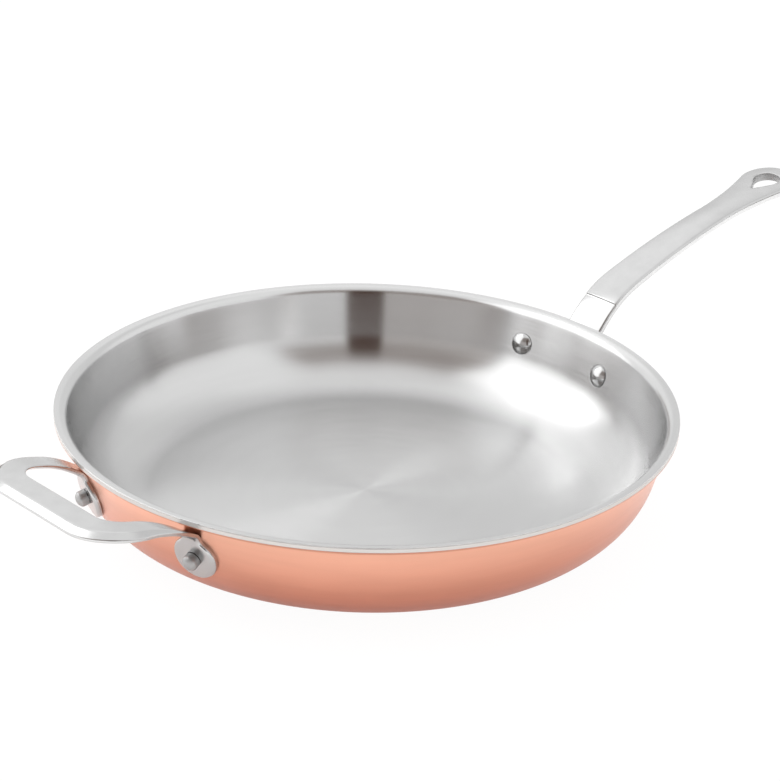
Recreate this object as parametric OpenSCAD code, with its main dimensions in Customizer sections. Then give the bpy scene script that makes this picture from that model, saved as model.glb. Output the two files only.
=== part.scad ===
// Frying pan of bonded copper, aluminium and stainless steel, with a long handle
// at the back and a helper handle at the front, both riveted to the wall.
// The origin is the centre of the base, on the surface that the pan stands on.
// The long handle points along +X and the helper handle along -X.

/* [Pan] */
// Diameter over the pouring lip
rim_d = 320; // [280:1:400]
// Height from the base to the top of the lip
pan_h = 55; // [50:1:80]
// Outside radius of the bend between the base and the wall
corner_r = 39; // [30:1:42]
// Lean of the wall, outwards from upright, in degrees
wall_lean = 15.5; // [8:0.5:20]
// Width of the lip seen from above
lip_w = 6; // [5:0.5:10]
// Rise of the lip towards its edge, in degrees
lip_rise = 7; // [0:1:15]
// Radius of the bend on the underside of the lip
lip_bend_r = 2; // [1:0.5:3]

/* [Bonded sheet] */
// Thickness of the stainless steel that the food touches
lining_t = 0.6; // [0.4:0.1:1]
// Thickness of the aluminium between steel and copper
core_t = 2; // [1:0.1:3]
// Thickness of the copper outside
copper_t = 0.4; // [0.3:0.1:1]

/* [Rivets] */
// Diameter of a rivet's shank and of the holes that it fills
rivet_d = 6; // [4:0.5:8]
// Diameter of the head inside the pan
inner_head_d = 13; // [10:0.5:16]
// Height of the head inside the pan
inner_head_h = 3; // [2:0.5:4]
// Diameter of the head outside the pan
outer_head_d = 8; // [7:0.5:12]
// Height of the straight side of the head outside the pan
outer_side_h = 3.6; // [0.4:0.2:6]
// Height of the rounded end of the head outside the pan
outer_crown_h = 2; // [1:0.2:3.4]

/* [Long handle] */
// Distance of its rivets below the top of the lip
handle_rivet_drop = 19; // [18:0.5:24]
// Distance between its two rivets, centre to centre
handle_rivet_gap = 58; // [50:1:70]
// Thickness of the flange that lies against the wall
flange_t = 3; // [2:0.5:5]
// Width of the flange beyond each rivet's centre
flange_ear_r = 9.5; // [8:0.5:12]
// Height of the flange in the middle
flange_h = 26; // [22:1:30]
// Depth below the top of the lip at which the top face leaves the copper
handle_drop = 16; // [12:0.5:20]
// Thickness of the bar
handle_t = 4.6; // [3:0.1:7]
// Rounding of the bar's edges
handle_edge_r = 1.4; // [0.8:0.1:1.5]
// Crown of the top face across its width
handle_crown = 0.5; // [0.2:0.1:1]
// Width where the bar meets the flange
root_w = 34; // [28:1:44]
// Width just above the root
neck_w = 23.8; // [20:0.2:28]
// Least width, before the bar swells round the hole
waist_w = 20.2; // [16:0.2:24]
// Angle at which the bar leaves the pan, in degrees above level
root_rise = 48; // [40:1:54]
// Length of the straight root
root_len = 23.8; // [18:0.2:30]
// Length over which the root narrows to the neck
root_flare_len = 14; // [10:1:18]
// Radius of the knee above the root
knee_r = 62; // [40:1:90]
// Turn of the knee, in degrees
knee_angle = 29; // [18:0.5:32]
// Length of the shaft between the knee and the swollen end
shaft_len = 81; // [60:1:140]
// Slow turn of the shaft, in degrees
shaft_angle = 8.2; // [2:0.2:14]
// Height of the step where the shaft's top face begins
ledge_h = 0.6; // [0.3:0.1:1]
// Radius of the swollen end
end_r = 16.8; // [15:0.2:22]
// Radius of the hollow in the outline before the swollen end
end_fillet_r = 166; // [90:2:200]
// Radius of the round end of the hanging hole
hole_r = 7.7; // [5:0.1:9]
// Distance from the hole's centre to its pointed end
hole_point = 14; // [11:0.5:16]

/* [Helper handle] */
// Distance of its rivets below the top of the lip
helper_rivet_drop = 22; // [21:0.5:27]
// Angle between its two rivets, seen from above, in degrees
helper_rivet_angle = 31.5; // [28:0.5:36]
// Reach of the top face beyond the pan's rim
helper_reach = 44.2; // [42:0.2:56]
// Height of the top face at its front, above the top of the lip
helper_lift = 7.4; // [5:0.2:10]
// Radius of the arch that the loop makes, seen from the side
helper_arch_r = 80; // [74:1:110]
// Distance between the loop's two arms, centre to centre
helper_spread = 86; // [80:1:96]
// Width of the loop's flat top face
helper_w = 13; // [12:0.5:18]
// Width of the arms where they turn down to the pads
tab_w = 10; // [8:0.5:14]
// Thickness of the loop, the arms and the pads
helper_t = 2.8; // [2:0.1:3.5]
// Width of the bevel along the outer edge
bevel_w = 3; // [2:0.2:5]
// Fall of the bevel along the outer edge
bevel_drop = 2.2; // [1.6:0.2:5]
// Thickness of the loop's outer edge, below the bevel
outer_edge_t = 1.6; // [1:0.2:2]
// Radius of the loop's corners, along the middle of the top face
helper_corner_r = 18; // [14:1:24]
// Radius of the bend above each pad, on the side of the wall
tab_bend_r = 8; // [6:0.5:12]
// Radius of the pads
pad_r = 11.6; // [10:0.2:14]

/* [Hidden] */

steel_colour = "#c3c3c5";
aluminium_colour = "#aeb1b4";
copper_colour = "#d98c66";
polished_colour = "#d2d2d4";

// Facets of a round surface, and how far a cut runs past what it cuts
round_fn = 96;
small_fn = 48;
hull_fn = 32;
overrun = 1;

// The section of the wall is drawn from its cooking face. A depth is measured from
// that face outwards through the sheet, so the copper's outside lies at sheet_t.
sheet_t = lining_t + core_t + copper_t;
rim_r = rim_d / 2;
corner_in_r = corner_r - sheet_t;
lip_in_r = lip_bend_r + sheet_t;
// Directions in the section, as [outwards, up]: up the wall and out of it, along the
// lip and down from it
wall_up = [sin(wall_lean), cos(wall_lean)];
wall_out = [cos(wall_lean), -sin(wall_lean)];
lip_along = [cos(lip_rise), sin(lip_rise)];
lip_down = [sin(lip_rise), -cos(lip_rise)];
// Where the cooking faces of the wall and the lip would meet without a bend
knuckle = [rim_r - lip_w, pan_h - lip_w * tan(lip_rise)];
// Centre of the bend at the base, which touches the cooking face of the wall
knuckle_to_corner = (knuckle[1] + corner_in_r * sin(wall_lean) - corner_r) / cos(wall_lean);
corner_c = knuckle - knuckle_to_corner * wall_up - corner_in_r * wall_out;
// Centre of the bend at the lip, outside the wall and below the lip
bend_half = (90 + wall_lean + lip_rise) / 2;
lip_c = knuckle + lip_in_r / tan(bend_half) * lip_along + lip_in_r * lip_down;

// Height at which the bend at the base gives way to the straight wall
wall_start_z = corner_c[1] - corner_in_r * sin(wall_lean);
// Lean and radius of the cooking face at a height
function lean_at(z) = z > wall_start_z ? wall_lean : asin((corner_c[1] - z) / corner_in_r);
function wall_r_at(z) = z > wall_start_z ? knuckle[0] - (knuckle[1] - z) * tan(wall_lean)
                                         : corner_c[0] + corner_in_r * cos(lean_at(z));

// Rivet places, as angles seen from above
handle_rivet_z = pan_h - handle_rivet_drop;
helper_rivet_z = pan_h - helper_rivet_drop;
handle_rivet_turn = asin(handle_rivet_gap / 2 / wall_r_at(handle_rivet_z));
helper_rivet_turn = helper_rivet_angle / 2;
helper_side = 180;

// Room inside the bowl, grown by a depth, without the lip's overhang
module bowl_section(depth) {
    foot = corner_c + (corner_in_r + depth) * wall_out;
    top = foot + (pan_h - foot[1]) / cos(wall_lean) * wall_up;
    floor_z = sheet_t - depth;
    polygon([[0, floor_z], [corner_c[0], floor_z], corner_c, foot, top, [0, pan_h]]);
    intersection() {
        translate(corner_c) circle(r = corner_in_r + depth, $fn = round_fn);
        translate([corner_c[0], floor_z]) square([corner_r, corner_c[1] - floor_z]);
    }
}

// The same room with the space above the lip
module pan_section(depth) {
    bend_r = lip_in_r - depth;
    on_wall = lip_c - bend_r * wall_out;
    on_lip = lip_c - bend_r * lip_down;
    edge = on_lip + (rim_r - on_lip[0]) / cos(lip_rise) * lip_along;
    bowl_section(depth);
    difference() {
        polygon([[0, on_wall[1]], on_wall, lip_c, on_lip, edge, [rim_r, pan_h], [0, pan_h]]);
        translate(lip_c) circle(r = bend_r, $fn = round_fn);
    }
}

module pan_room(depth) {
    rotate_extrude($fn = round_fn) pan_section(depth);
}

// One layer of the bonded sheet between two depths
module pan_layer(inner, outer) {
    difference() {
        rotate_extrude($fn = round_fn) difference() {
            pan_section(outer);
            pan_section(inner);
        }
        for (side = [-1, 1]) {
            on_wall(side * handle_rivet_turn, handle_rivet_z) rivet_hole();
            on_wall(helper_side + side * helper_rivet_turn, helper_rivet_z) rivet_hole();
        }
    }
}

// Plate that follows the copper, from one thickness of the plate to the next
module wall_plate(thickness) {
    rotate_extrude($fn = round_fn) difference() {
        bowl_section(sheet_t + thickness);
        bowl_section(sheet_t);
    }
}

// Moves to a place on the cooking face, with +Z straight out through the wall and
// +X down along it
module on_wall(turn, z) {
    rotate([0, 0, turn]) translate([wall_r_at(z), 0, z]) rotate([0, 90 + lean_at(z), 0]) children();
}

module rivet_hole() {
    translate([0, 0, -overrun])
        cylinder(d = rivet_d, h = sheet_t + flange_t + helper_t + 2 * overrun, $fn = small_fn);
}

// Half section of a domed head that stands on y = 0, up or down
module dome_section(d, h, way) {
    r = (d * d / 4 + h * h) / (2 * h);
    intersection() {
        translate([0, way * (h - r)]) circle(r = r, $fn = small_fn);
        translate([0, way > 0 ? 0 : -h]) square([d, h]);
    }
}

// Gap under the middle of an inner head, whose flat face rests on the hollow wall: what
// the wall's roundness takes across, or the bend at the base takes below the head
function head_gap(z) =
    let (
        r = inner_head_d / 2,
        below = max(0, r - (z - wall_start_z) / cos(wall_lean)))
    max(r * r / (2 * (wall_r_at(z) - r)), below * below / (2 * (corner_in_r - below)));

// A rivet through the wall and a plate of the given thickness
module rivet(turn, z, plate_t) {
    outside = sheet_t + plate_t;
    inside = head_gap(z);
    on_wall(turn, z) rotate_extrude($fn = small_fn) {
        translate([0, -inside]) dome_section(inner_head_d, inner_head_h, -1);
        translate([0, outside]) square([outer_head_d / 2, outer_side_h]);
        translate([0, outside + outer_side_h]) dome_section(outer_head_d, outer_crown_h, 1);
        translate([0, -inside - inner_head_h / 2])
            square([rivet_d / 2, inside + outside + (inner_head_h + outer_side_h) / 2]);
    }
}

function steps(from, to, n) = [for (i = [0:n]) from + (to - from) * i / n];

// Surface swept through a list of rings, each with the same number of points
module skin(rings) {
    n = len(rings[0]);
    m = len(rings);
    polyhedron(
        points = [for (ring = rings) for (p = ring) p],
        faces = concat(
            [[for (j = [0:n - 1]) j]],
            [for (i = [0:m - 2]) for (j = [0:n - 1])
                let (k = (j + 1) % n)
                each [[i * n + j, (i + 1) * n + j, (i + 1) * n + k], [i * n + j, (i + 1) * n + k, i * n + k]]],
            [[for (j = [n - 1:-1:0]) (m - 1) * n + j]]));
}

// Places along the long handle's top face are lengths from where it leaves the copper
knee_len = knee_r * knee_angle * PI / 180;
shaft_start = root_len + knee_len;
end_start = shaft_start + shaft_len;
waist_hw = waist_w / 2;
end_reach = sqrt(pow(end_r + end_fillet_r, 2) - pow(waist_hw + end_fillet_r, 2));
end_c = end_start + end_reach;
end_touch = end_c - end_reach * end_r / (end_r + end_fillet_r);
// How far up the knee the step in the top face lies
ledge_share = 0.37;
// The bar starts inside the wall, and what lies in the pan is cut away
bar_sink = -2 * handle_t;
least_hw = 2 * handle_edge_r;

// Angle of the top face above level, at a length
function rise_at(l) =
    l < root_len ? root_rise
    : l < shaft_start ? root_rise - knee_angle * (l - root_len) / knee_len
    : root_rise - knee_angle - shaft_angle * min(1, (l - shaft_start) / shaft_len);

// Half of the bar's width, at a length
function half_width_at(l) =
    l < root_flare_len ? neck_w / 2 + (root_w - neck_w) / 4 * (1 + cos(180 * max(l, 0) / root_flare_len))
    : l < end_start ? (neck_w - (neck_w - waist_w) * (l - root_flare_len) / (end_start - root_flare_len)) / 2
    : l < end_touch ? waist_hw + end_fillet_r - sqrt(pow(end_fillet_r, 2) - pow(l - end_start, 2))
    : max(least_hw, sqrt(max(0, pow(end_r, 2) - pow(l - end_c, 2))));

// Lengths at which the bar has a ring, close together where it bends or swells
ledge_at = root_len + ledge_share * knee_len;
bar_stations = concat(
    [bar_sink], steps(0, root_flare_len, 5), [root_len],
    [ledge_at, ledge_at + ledge_h],
    steps(ledge_at + 2 * ledge_h, shaft_start, 6),
    [for (l = steps(shaft_start, end_start, 10)) if (l > shaft_start) l],
    [for (l = steps(end_start, end_touch, 6)) if (l > end_start) l],
    [for (a = steps(asin((end_c - end_touch) / end_r), -asin(sqrt(1 - pow(least_hw / end_r, 2))), 14))
        let (l = end_c - end_r * sin(a)) if (l > end_touch) l]);

// Place on the top face at each ring, found by adding up short steps
function walk(stations, i, at) =
    i == len(stations) ? []
    : let (
        step = i == 0 ? stations[0] : stations[i] - stations[i - 1],
        a = i == 0 ? root_rise : (rise_at(stations[i]) + rise_at(stations[i - 1])) / 2,
        p = at + step * [cos(a), sin(a)])
      concat([p], walk(stations, i + 1, p));

handle_foot_z = pan_h - handle_drop;
handle_foot = [wall_r_at(handle_foot_z) + sheet_t / cos(wall_lean), handle_foot_z];
bar_places = walk(bar_stations, 0, handle_foot);

// Ring of the bar: a rounded oblong with a crowned top, as [across, up] from the top face
function bar_ring(hw, drop) =
    let (e = handle_edge_r, t = handle_t)
    concat(
        [for (x = steps(-1, 1, 6)) if (abs(x) < 1) [x * (hw - e), handle_crown * (1 - x * x) - drop]],
        [for (a = steps(90, 0, 3)) [hw - e + e * cos(a), -drop - e + e * sin(a)]],
        [for (a = steps(0, -90, 3)) [hw - e + e * cos(a), -t + e + e * sin(a)]],
        [for (a = steps(-90, -180, 3)) [-hw + e + e * cos(a), -t + e + e * sin(a)]],
        [for (a = steps(180, 90, 3)) [-hw + e + e * cos(a), -drop - e + e * sin(a)]]);

module handle_bar() {
    skin([for (i = [0:len(bar_stations) - 1])
        let (
            l = bar_stations[i],
            place = bar_places[i],
            a = rise_at(l),
            drop = l > ledge_at ? 0 : ledge_h)
        [for (q = bar_ring(half_width_at(l), drop))
            [place[0] - q[1] * sin(a), -q[0], place[1] + q[1] * cos(a)]]]);
}

// Teardrop hole, with its point towards the pan
module hanging_hole() {
    last = len(bar_stations) - 1;
    i = [for (k = [0:last]) if (bar_stations[k] <= end_c) k];
    near = i[len(i) - 1];
    a = rise_at(end_c);
    at = bar_places[near] + (end_c - bar_stations[near]) * [cos(a), sin(a)];
    touch = acos(hole_r / hole_point);
    translate([at[0], 0, at[1]]) rotate([0, -a, 0]) translate([0, 0, -handle_t - overrun]) {
        cylinder(r = hole_r, h = handle_t + handle_crown + 2 * overrun, $fn = small_fn);
        linear_extrude(handle_t + handle_crown + 2 * overrun)
            polygon([[0, 0], hole_r * [-cos(touch), sin(touch)], [-hole_point, 0],
                     hole_r * [-cos(touch), -sin(touch)]]);
    }
}

// Outline of the flange: an ear round each rivet and a broad middle
module flange_outline() {
    depth = sheet_t + flange_t + overrun;
    hull() {
        for (side = [-1, 1]) {
            on_wall(side * handle_rivet_turn, handle_rivet_z)
                cylinder(r = flange_ear_r, h = depth, $fn = hull_fn);
            on_wall(0, handle_rivet_z) translate([0, side * (root_w - flange_h) / 2, 0])
                cylinder(d = flange_h, h = depth, $fn = hull_fn);
        }
    }
}

// Loop of the helper handle, in its own frame with the pan's axis at the origin, its
// reach along +X and its width along Y. From the side it is an arch, level at the front
loop_front = rim_r + helper_reach - helper_w / 2;
loop_corner = [loop_front - helper_corner_r, helper_spread / 2 - helper_corner_r];
function arch_turn(x) = asin((loop_front - x) / helper_arch_r);
function arch_z(x) = pan_h + helper_lift - helper_arch_r * (1 - cos(arch_turn(x)));
// Slope of an arm under the rim, in the upright plane through its rivet, and the place
// where the arm's top face would meet the copper without a bend
arm_dir = [cos(helper_rivet_turn), sin(helper_rivet_turn)];
arm_rim_x = rim_r * arm_dir[0];
arm_slope = atan(tan(arch_turn(arm_rim_x)) * arm_dir[0]);
arm_level_z = arch_z(arm_rim_x) - rim_r * tan(arm_slope);
arm_foot_r = (knuckle[0] + sheet_t / cos(wall_lean) - tan(wall_lean) * (knuckle[1] - arm_level_z))
             / (1 - tan(wall_lean) * tan(arm_slope));
tab_turn = 90 - wall_lean - arm_slope;
tab_reach = tab_bend_r * tan(tab_turn / 2);
tab_top = [arm_foot_r + tab_reach * cos(arm_slope),
           arm_level_z + arm_foot_r * tan(arm_slope) + tab_reach * sin(arm_slope)];
tab_c = tab_top + tab_bend_r * [sin(arm_slope), -cos(arm_slope)];
tab_len = (tab_c[1] - helper_rivet_z) / cos(wall_lean);

// A station of the loop is [place, direction out of the top face, share of the full
// width and of the bevel]
function tilted(a, dir) = [-sin(a) * dir[0], -sin(a) * dir[1], cos(a)];
// It narrows from inside the corner to the tab
narrow_share = 0.3;
narrow_x = loop_corner[0] + narrow_share * helper_corner_r;
tab_x = tab_top[0] * arm_dir[0];
function full_share(x) = min(1, max(0, (x - tab_x) / (narrow_x - tab_x)));
function loop_station(x, y) = [[x, y, arch_z(x)], tilted(arch_turn(x), [1, 0]), full_share(x)];
function tab_station(r, z, a) = [[r * arm_dir[0], r * arm_dir[1], z], tilted(a, arm_dir), 0];

// The arm is a curve between the corner and the tab, with both directions kept
arm_start = [loop_corner[0], helper_spread / 2];
arm_end = tab_top[0] * arm_dir;
arm_pull = norm(arm_end - arm_start) / 3;
function curve(u, p, q, r, s) =
    pow(1 - u, 3) * p + 3 * u * pow(1 - u, 2) * q + 3 * u * u * (1 - u) * r + pow(u, 3) * s;
function arm_station(u) =
    let (
        p = curve(u, arm_start, arm_start - [arm_pull, 0], arm_end + arm_pull * arm_dir, arm_end),
        side = unit((1 - u) * [1, 0] + u * arm_dir))
    [[p[0], p[1], arch_z(p[0])], tilted(arch_turn(p[0]), side), full_share(p[0])];

half_loop = concat(
    [for (y = steps(0, loop_corner[1], 3)) if (y < loop_corner[1]) loop_station(loop_front, y)],
    [for (a = steps(90, 0, 12))
        loop_station(loop_corner[0] + helper_corner_r * sin(a), loop_corner[1] + helper_corner_r * cos(a))],
    [for (u = steps(0, 1, 6)) if (u > 0 && u < 1) arm_station(u)],
    [for (a = steps(arm_slope, 90 - wall_lean, 6))
        tab_station(tab_c[0] - tab_bend_r * sin(a), tab_c[1] + tab_bend_r * cos(a), a)],
    [for (u = steps(0, 1, 2)) if (u > 0)
        tab_station(tab_c[0] - tab_bend_r * cos(wall_lean) - u * tab_len * sin(wall_lean),
                    tab_c[1] + tab_bend_r * sin(wall_lean) - u * tab_len * cos(wall_lean),
                    90 - wall_lean)]);

function mirrored(s) = [[s[0][0], -s[0][1], s[0][2]], [s[1][0], -s[1][1], s[1][2]], s[2]];
whole_loop = concat(
    [for (i = [len(half_loop) - 1:-1:1]) mirrored(half_loop[i])],
    half_loop);

function unit(v) = v / norm(v);

// Ring of the loop: a flat plate whose outer edge is bevelled down, as [outwards, up]
// from the middle of the top face
edge_soft = helper_t / 5;
function loop_ring(share) =
    let (
        hw = (tab_w + (helper_w - tab_w) * share) / 2,
        out = hw + bevel_w * share,
        fall = bevel_drop * share,
        low = helper_t + (outer_edge_t + bevel_drop - helper_t) * share)
    [[-hw + edge_soft, 0], [hw - edge_soft, 0], [hw, -edge_soft / 2],
     [out, -fall - edge_soft / 2], [out, -low + edge_soft], [out - edge_soft, -low],
     [hw - 2 * edge_soft, -helper_t], [-hw + edge_soft, -helper_t], [-hw, -helper_t + edge_soft],
     [-hw, -edge_soft]];

module helper_loop() {
    last = len(whole_loop) - 1;
    skin([for (i = [0:last])
        let (
            station = whole_loop[i],
            along = unit(whole_loop[min(i + 1, last)][0] - whole_loop[max(i - 1, 0)][0]),
            outwards = unit(cross(along, station[1])),
            up = cross(outwards, along))
        [for (q = loop_ring(station[2])) station[0] + q[0] * outwards + q[1] * up]]);
}

module pad_outline() {
    hull() {
        cylinder(r = pad_r, h = sheet_t + helper_t + overrun, $fn = hull_fn);
        translate([(helper_rivet_z - tab_c[1]) / cos(wall_lean), 0, 0])
            cylinder(d = tab_w, h = sheet_t + helper_t + overrun, $fn = hull_fn);
    }
}

module steel_lining() {
    color(steel_colour) pan_layer(0, lining_t);
}

module aluminium_core() {
    color(aluminium_colour) pan_layer(lining_t, lining_t + core_t);
}

module copper_shell() {
    color(copper_colour) pan_layer(lining_t + core_t, sheet_t);
}

module long_handle() {
    color(polished_colour) difference() {
        union() {
            intersection() {
                wall_plate(flange_t);
                flange_outline();
            }
            handle_bar();
        }
        pan_room(sheet_t);
        hanging_hole();
        for (side = [-1, 1]) on_wall(side * handle_rivet_turn, handle_rivet_z) rivet_hole();
    }
}

module helper_handle() {
    color(polished_colour) rotate([0, 0, helper_side]) difference() {
        union() {
            for (side = [-1, 1]) intersection() {
                wall_plate(helper_t);
                on_wall(side * helper_rivet_turn, helper_rivet_z) pad_outline();
            }
            helper_loop();
        }
        pan_room(sheet_t);
        for (side = [-1, 1]) on_wall(side * helper_rivet_turn, helper_rivet_z) rivet_hole();
    }
}

module handle_rivet(side) {
    color(polished_colour) rivet(side * handle_rivet_turn, handle_rivet_z, flange_t);
}

module helper_rivet(side) {
    color(polished_colour) rivet(helper_side + side * helper_rivet_turn, helper_rivet_z, helper_t);
}

steel_lining();
aluminium_core();
copper_shell();
long_handle();
helper_handle();
handle_rivet(1);  // handle_rivet_left
handle_rivet(-1);  // handle_rivet_right
helper_rivet(-1);  // helper_rivet_left
helper_rivet(1);  // helper_rivet_right
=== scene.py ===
"""Looks of a bonded copper frying pan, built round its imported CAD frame."""

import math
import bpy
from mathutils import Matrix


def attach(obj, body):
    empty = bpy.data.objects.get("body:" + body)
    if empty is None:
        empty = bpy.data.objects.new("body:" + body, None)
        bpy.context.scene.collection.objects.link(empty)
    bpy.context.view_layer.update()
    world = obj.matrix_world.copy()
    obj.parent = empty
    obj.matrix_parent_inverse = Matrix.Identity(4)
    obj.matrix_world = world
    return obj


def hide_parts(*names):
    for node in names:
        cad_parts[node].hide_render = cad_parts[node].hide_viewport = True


bl_info = {
    "name": "Frying pan",
    "version": (1, 0, 0),
    "blender": (4, 5, 0),
    "location": "View3D > Sidebar > Frying pan",
    "description": "Copper frying pan with a steel lining, a long handle and a helper handle",
    "category": "Add Mesh",
}

from types import SimpleNamespace

import bpy
import numpy as np
from mathutils import Matrix

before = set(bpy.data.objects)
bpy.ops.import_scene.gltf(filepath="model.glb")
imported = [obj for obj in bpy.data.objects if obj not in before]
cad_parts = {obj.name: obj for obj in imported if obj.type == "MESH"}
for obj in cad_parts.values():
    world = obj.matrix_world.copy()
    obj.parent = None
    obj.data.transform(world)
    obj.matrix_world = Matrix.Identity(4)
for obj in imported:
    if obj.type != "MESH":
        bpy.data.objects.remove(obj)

MM = 0.001
WHITE = (1, 1, 1, 1)


# Sizes and colours that a user would change


def length(name, description, mm):
    """A length property whose default is given in millimetres."""
    return bpy.props.FloatProperty(
        name=name, description=description, default=mm * MM, min=0,
        unit="LENGTH", subtype="DISTANCE",
    )


def angle(name, description, degrees):
    """An angle property whose default is given in degrees."""
    return bpy.props.FloatProperty(
        name=name, description=description, default=math.radians(degrees),
        unit="ROTATION", subtype="ANGLE",
    )


def colour(name, description, code):
    """A colour property that holds an sRGB hex code."""
    return bpy.props.StringProperty(name=name, description=description, default=code)


def share(name, description, value):
    """A number from 0 to 1."""
    return bpy.props.FloatProperty(
        name=name, description=description, default=value, min=0, max=1, subtype="FACTOR"
    )


class SheetSizes(bpy.types.PropertyGroup):
    """Sizes of the bonded sheet that the bowl is pressed from."""

    rim_d: length("Rim diameter", "Diameter over the pouring lip", 320)
    pan_h: length("Height", "Height from the base to the top of the lip", 55)
    corner_r: length("Base bend", "Outside radius of the bend between base and wall", 39)
    wall_lean: angle("Wall lean", "Lean of the wall, outwards from upright", 15.5)
    lip_w: length("Lip width", "Width of the lip seen from above", 6)
    lip_rise: angle("Lip rise", "Rise of the lip towards its edge", 7)
    lip_bend_r: length("Lip bend", "Radius of the bend on the underside of the lip", 2)
    lining_t: length("Lining", "Thickness of the stainless steel", 0.6)
    core_t: length("Core", "Thickness of the aluminium", 2)
    copper_t: length("Copper", "Thickness of the copper", 0.4)


class RivetSizes(bpy.types.PropertyGroup):
    """Sizes of the four rivets."""

    rivet_d: length("Shank", "Diameter of the shank", 6)
    inner_head_d: length("Inner head", "Diameter of the head inside the pan", 13)
    inner_head_h: length("Inner head height", "Height of the head inside the pan", 3)
    outer_head_d: length("Outer head", "Diameter of the head outside the pan", 8)
    outer_side_h: length("Outer head side", "Height of the straight side of the outer head", 3.6)
    outer_crown_h: length("Outer head crown", "Height of the rounded end of the outer head", 2)


class LongHandleSizes(bpy.types.PropertyGroup):
    """Sizes of the long handle."""

    rivet_drop: length("Rivet drop", "Distance of its rivets below the top of the lip", 19)
    rivet_gap: length("Rivet gap", "Distance between its two rivets", 58)
    flange_t: length("Flange thickness", "Thickness of the flange on the wall", 3)
    flange_ear_r: length("Flange ears", "Width of the flange beyond each rivet's centre", 9.5)
    flange_h: length("Flange height", "Height of the flange in the middle", 26)
    drop: length("Drop", "Depth below the lip at which the top face leaves the copper", 16)
    bar_t: length("Thickness", "Thickness of the bar", 4.6)
    edge_r: length("Edge", "Rounding of the bar's edges", 1.4)
    crown: length("Crown", "Crown of the top face across its width", 0.5)
    root_w: length("Root width", "Width where the bar meets the flange", 34)
    neck_w: length("Neck width", "Width just above the root", 23.8)
    waist_w: length("Waist width", "Least width, before the swollen end", 20.2)
    root_rise: angle("Root rise", "Angle at which the bar leaves the pan", 48)
    root_len: length("Root length", "Length of the straight root", 23.8)
    root_flare_len: length("Root flare", "Length over which the root narrows", 14)
    knee_r: length("Knee radius", "Radius of the knee above the root", 62)
    knee_angle: angle("Knee turn", "Turn of the knee", 29)
    shaft_len: length("Shaft length", "Length of the shaft between knee and swollen end", 81)
    shaft_angle: angle("Shaft turn", "Slow turn of the shaft", 8.2)
    ledge_h: length("Ledge", "Height of the step where the shaft's top face begins", 0.6)
    end_r: length("End radius", "Radius of the swollen end", 16.8)
    end_fillet_r: length("End hollow", "Radius of the hollow in the outline before the end", 166)
    hole_r: length("Hole radius", "Radius of the round end of the hanging hole", 7.7)
    hole_point: length("Hole point", "Distance from the hole's centre to its pointed end", 14)


class HelperHandleSizes(bpy.types.PropertyGroup):
    """Sizes of the helper handle."""

    rivet_drop: length("Rivet drop", "Distance of its rivets below the top of the lip", 22)
    rivet_angle: angle("Rivet angle", "Angle between its two rivets, seen from above", 31.5)
    reach: length("Reach", "Reach of the top face beyond the rim", 44.2)
    lift: length("Lift", "Height of the top face at its front, above the lip", 7.4)
    arch_r: length("Arch", "Radius of the arch that the loop makes from the side", 80)
    spread: length("Spread", "Distance between the two arms", 86)
    loop_w: length("Width", "Width of the flat top face", 13)
    tab_w: length("Arm width", "Width of the arms where they turn down", 10)
    loop_t: length("Thickness", "Thickness of the loop, the arms and the pads", 2.8)
    bevel_w: length("Bevel width", "Width of the bevel along the outer edge", 3)
    bevel_drop: length("Bevel fall", "Fall of the bevel along the outer edge", 2.2)
    outer_edge_t: length("Outer edge", "Thickness of the outer edge, below the bevel", 1.6)
    corner_r: length("Corners", "Radius of the loop's corners", 18)
    tab_bend_r: length("Arm bend", "Radius of the bend above each pad", 8)
    pad_r: length("Pads", "Radius of the pads", 11.6)


class Finishes(bpy.types.PropertyGroup):
    """Colours and smoothness of the metals."""

    lining: colour("Lining", "Brushed stainless steel of the lining", "#c4c4c4")
    core: colour("Core", "Aluminium at the cut edge", "#c6c3c0")
    copper: colour("Copper", "Brushed copper near the lip", "#e9ae94")
    # Darker copper used as painted shade: towards the base for the shadowed table below, and under
    # the lip for the lip's shadow.
    copper_painted_shade: colour("Copper, low", "Brushed copper towards the base", "#bf6d52")
    handle: colour("Handles", "Polished cast stainless steel", "#b9b9b9")
    rivet: colour("Rivets", "Rivet steel", "#b9b9b9")
    floor_rough: share("Floor roughness", "Roughness of the brushed cooking face", 0.25)
    wall_rough: share("Wall roughness", "Roughness of the brushed wall inside", 0.2)
    copper_rough: share("Copper roughness", "Roughness of the brushed copper", 0.36)
    handle_rough: share("Handle roughness", "Roughness of the polished handles", 0.21)


class StageLook(bpy.types.PropertyGroup):
    """Where the camera stands and how bright the studio is."""

    heading: angle("Heading", "Turn of the view round the pan", 43.8)
    elevation: angle("Elevation", "Height of the view above level", 24.5273)
    roll: angle("Roll", "Turn of the camera about its own line of sight", 1.6662)
    distance: length("Distance", "Distance of the camera from the rim's centre", 1157.3)
    aside: length("Aside", "Shift of the camera to its right", 11.38)
    above: length("Above", "Shift of the camera upwards in its own plane", 4.74)
    focal_px: bpy.props.FloatProperty(
        name="Focal length", default=2250,
        description="Focal length in pixels of a picture 781 pixels high",
    )


# Small tools for meshes and materials


def linear(code):
    """An sRGB hex code as linear red, green, blue and alpha: below 0.04045 a twelfth of the
    value, above it the 2.4th power of (value + 0.055) / 1.055."""
    c = np.array([int(code[i : i + 2], 16) for i in (1, 3, 5)]) / 255
    c = np.where(c <= 0.04045, c / 12.92, ((c + 0.055) / 1.055) ** 2.4)
    return (*c.tolist(), 1.0)


def add_node(tree, kind, links=None, values=None, **settings):
    """Adds a node to the tree. Settings are its own fields, values go into its inputs, and
    links join outputs of other nodes to them."""
    node = tree.nodes.new(kind)
    for field, value in settings.items():
        setattr(node, field, value)
    for slot, value in (values or {}).items():
        node.inputs[slot].default_value = value
    for slot, output in (links or {}).items():
        tree.links.new(output, node.inputs[slot])
    return node


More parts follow.
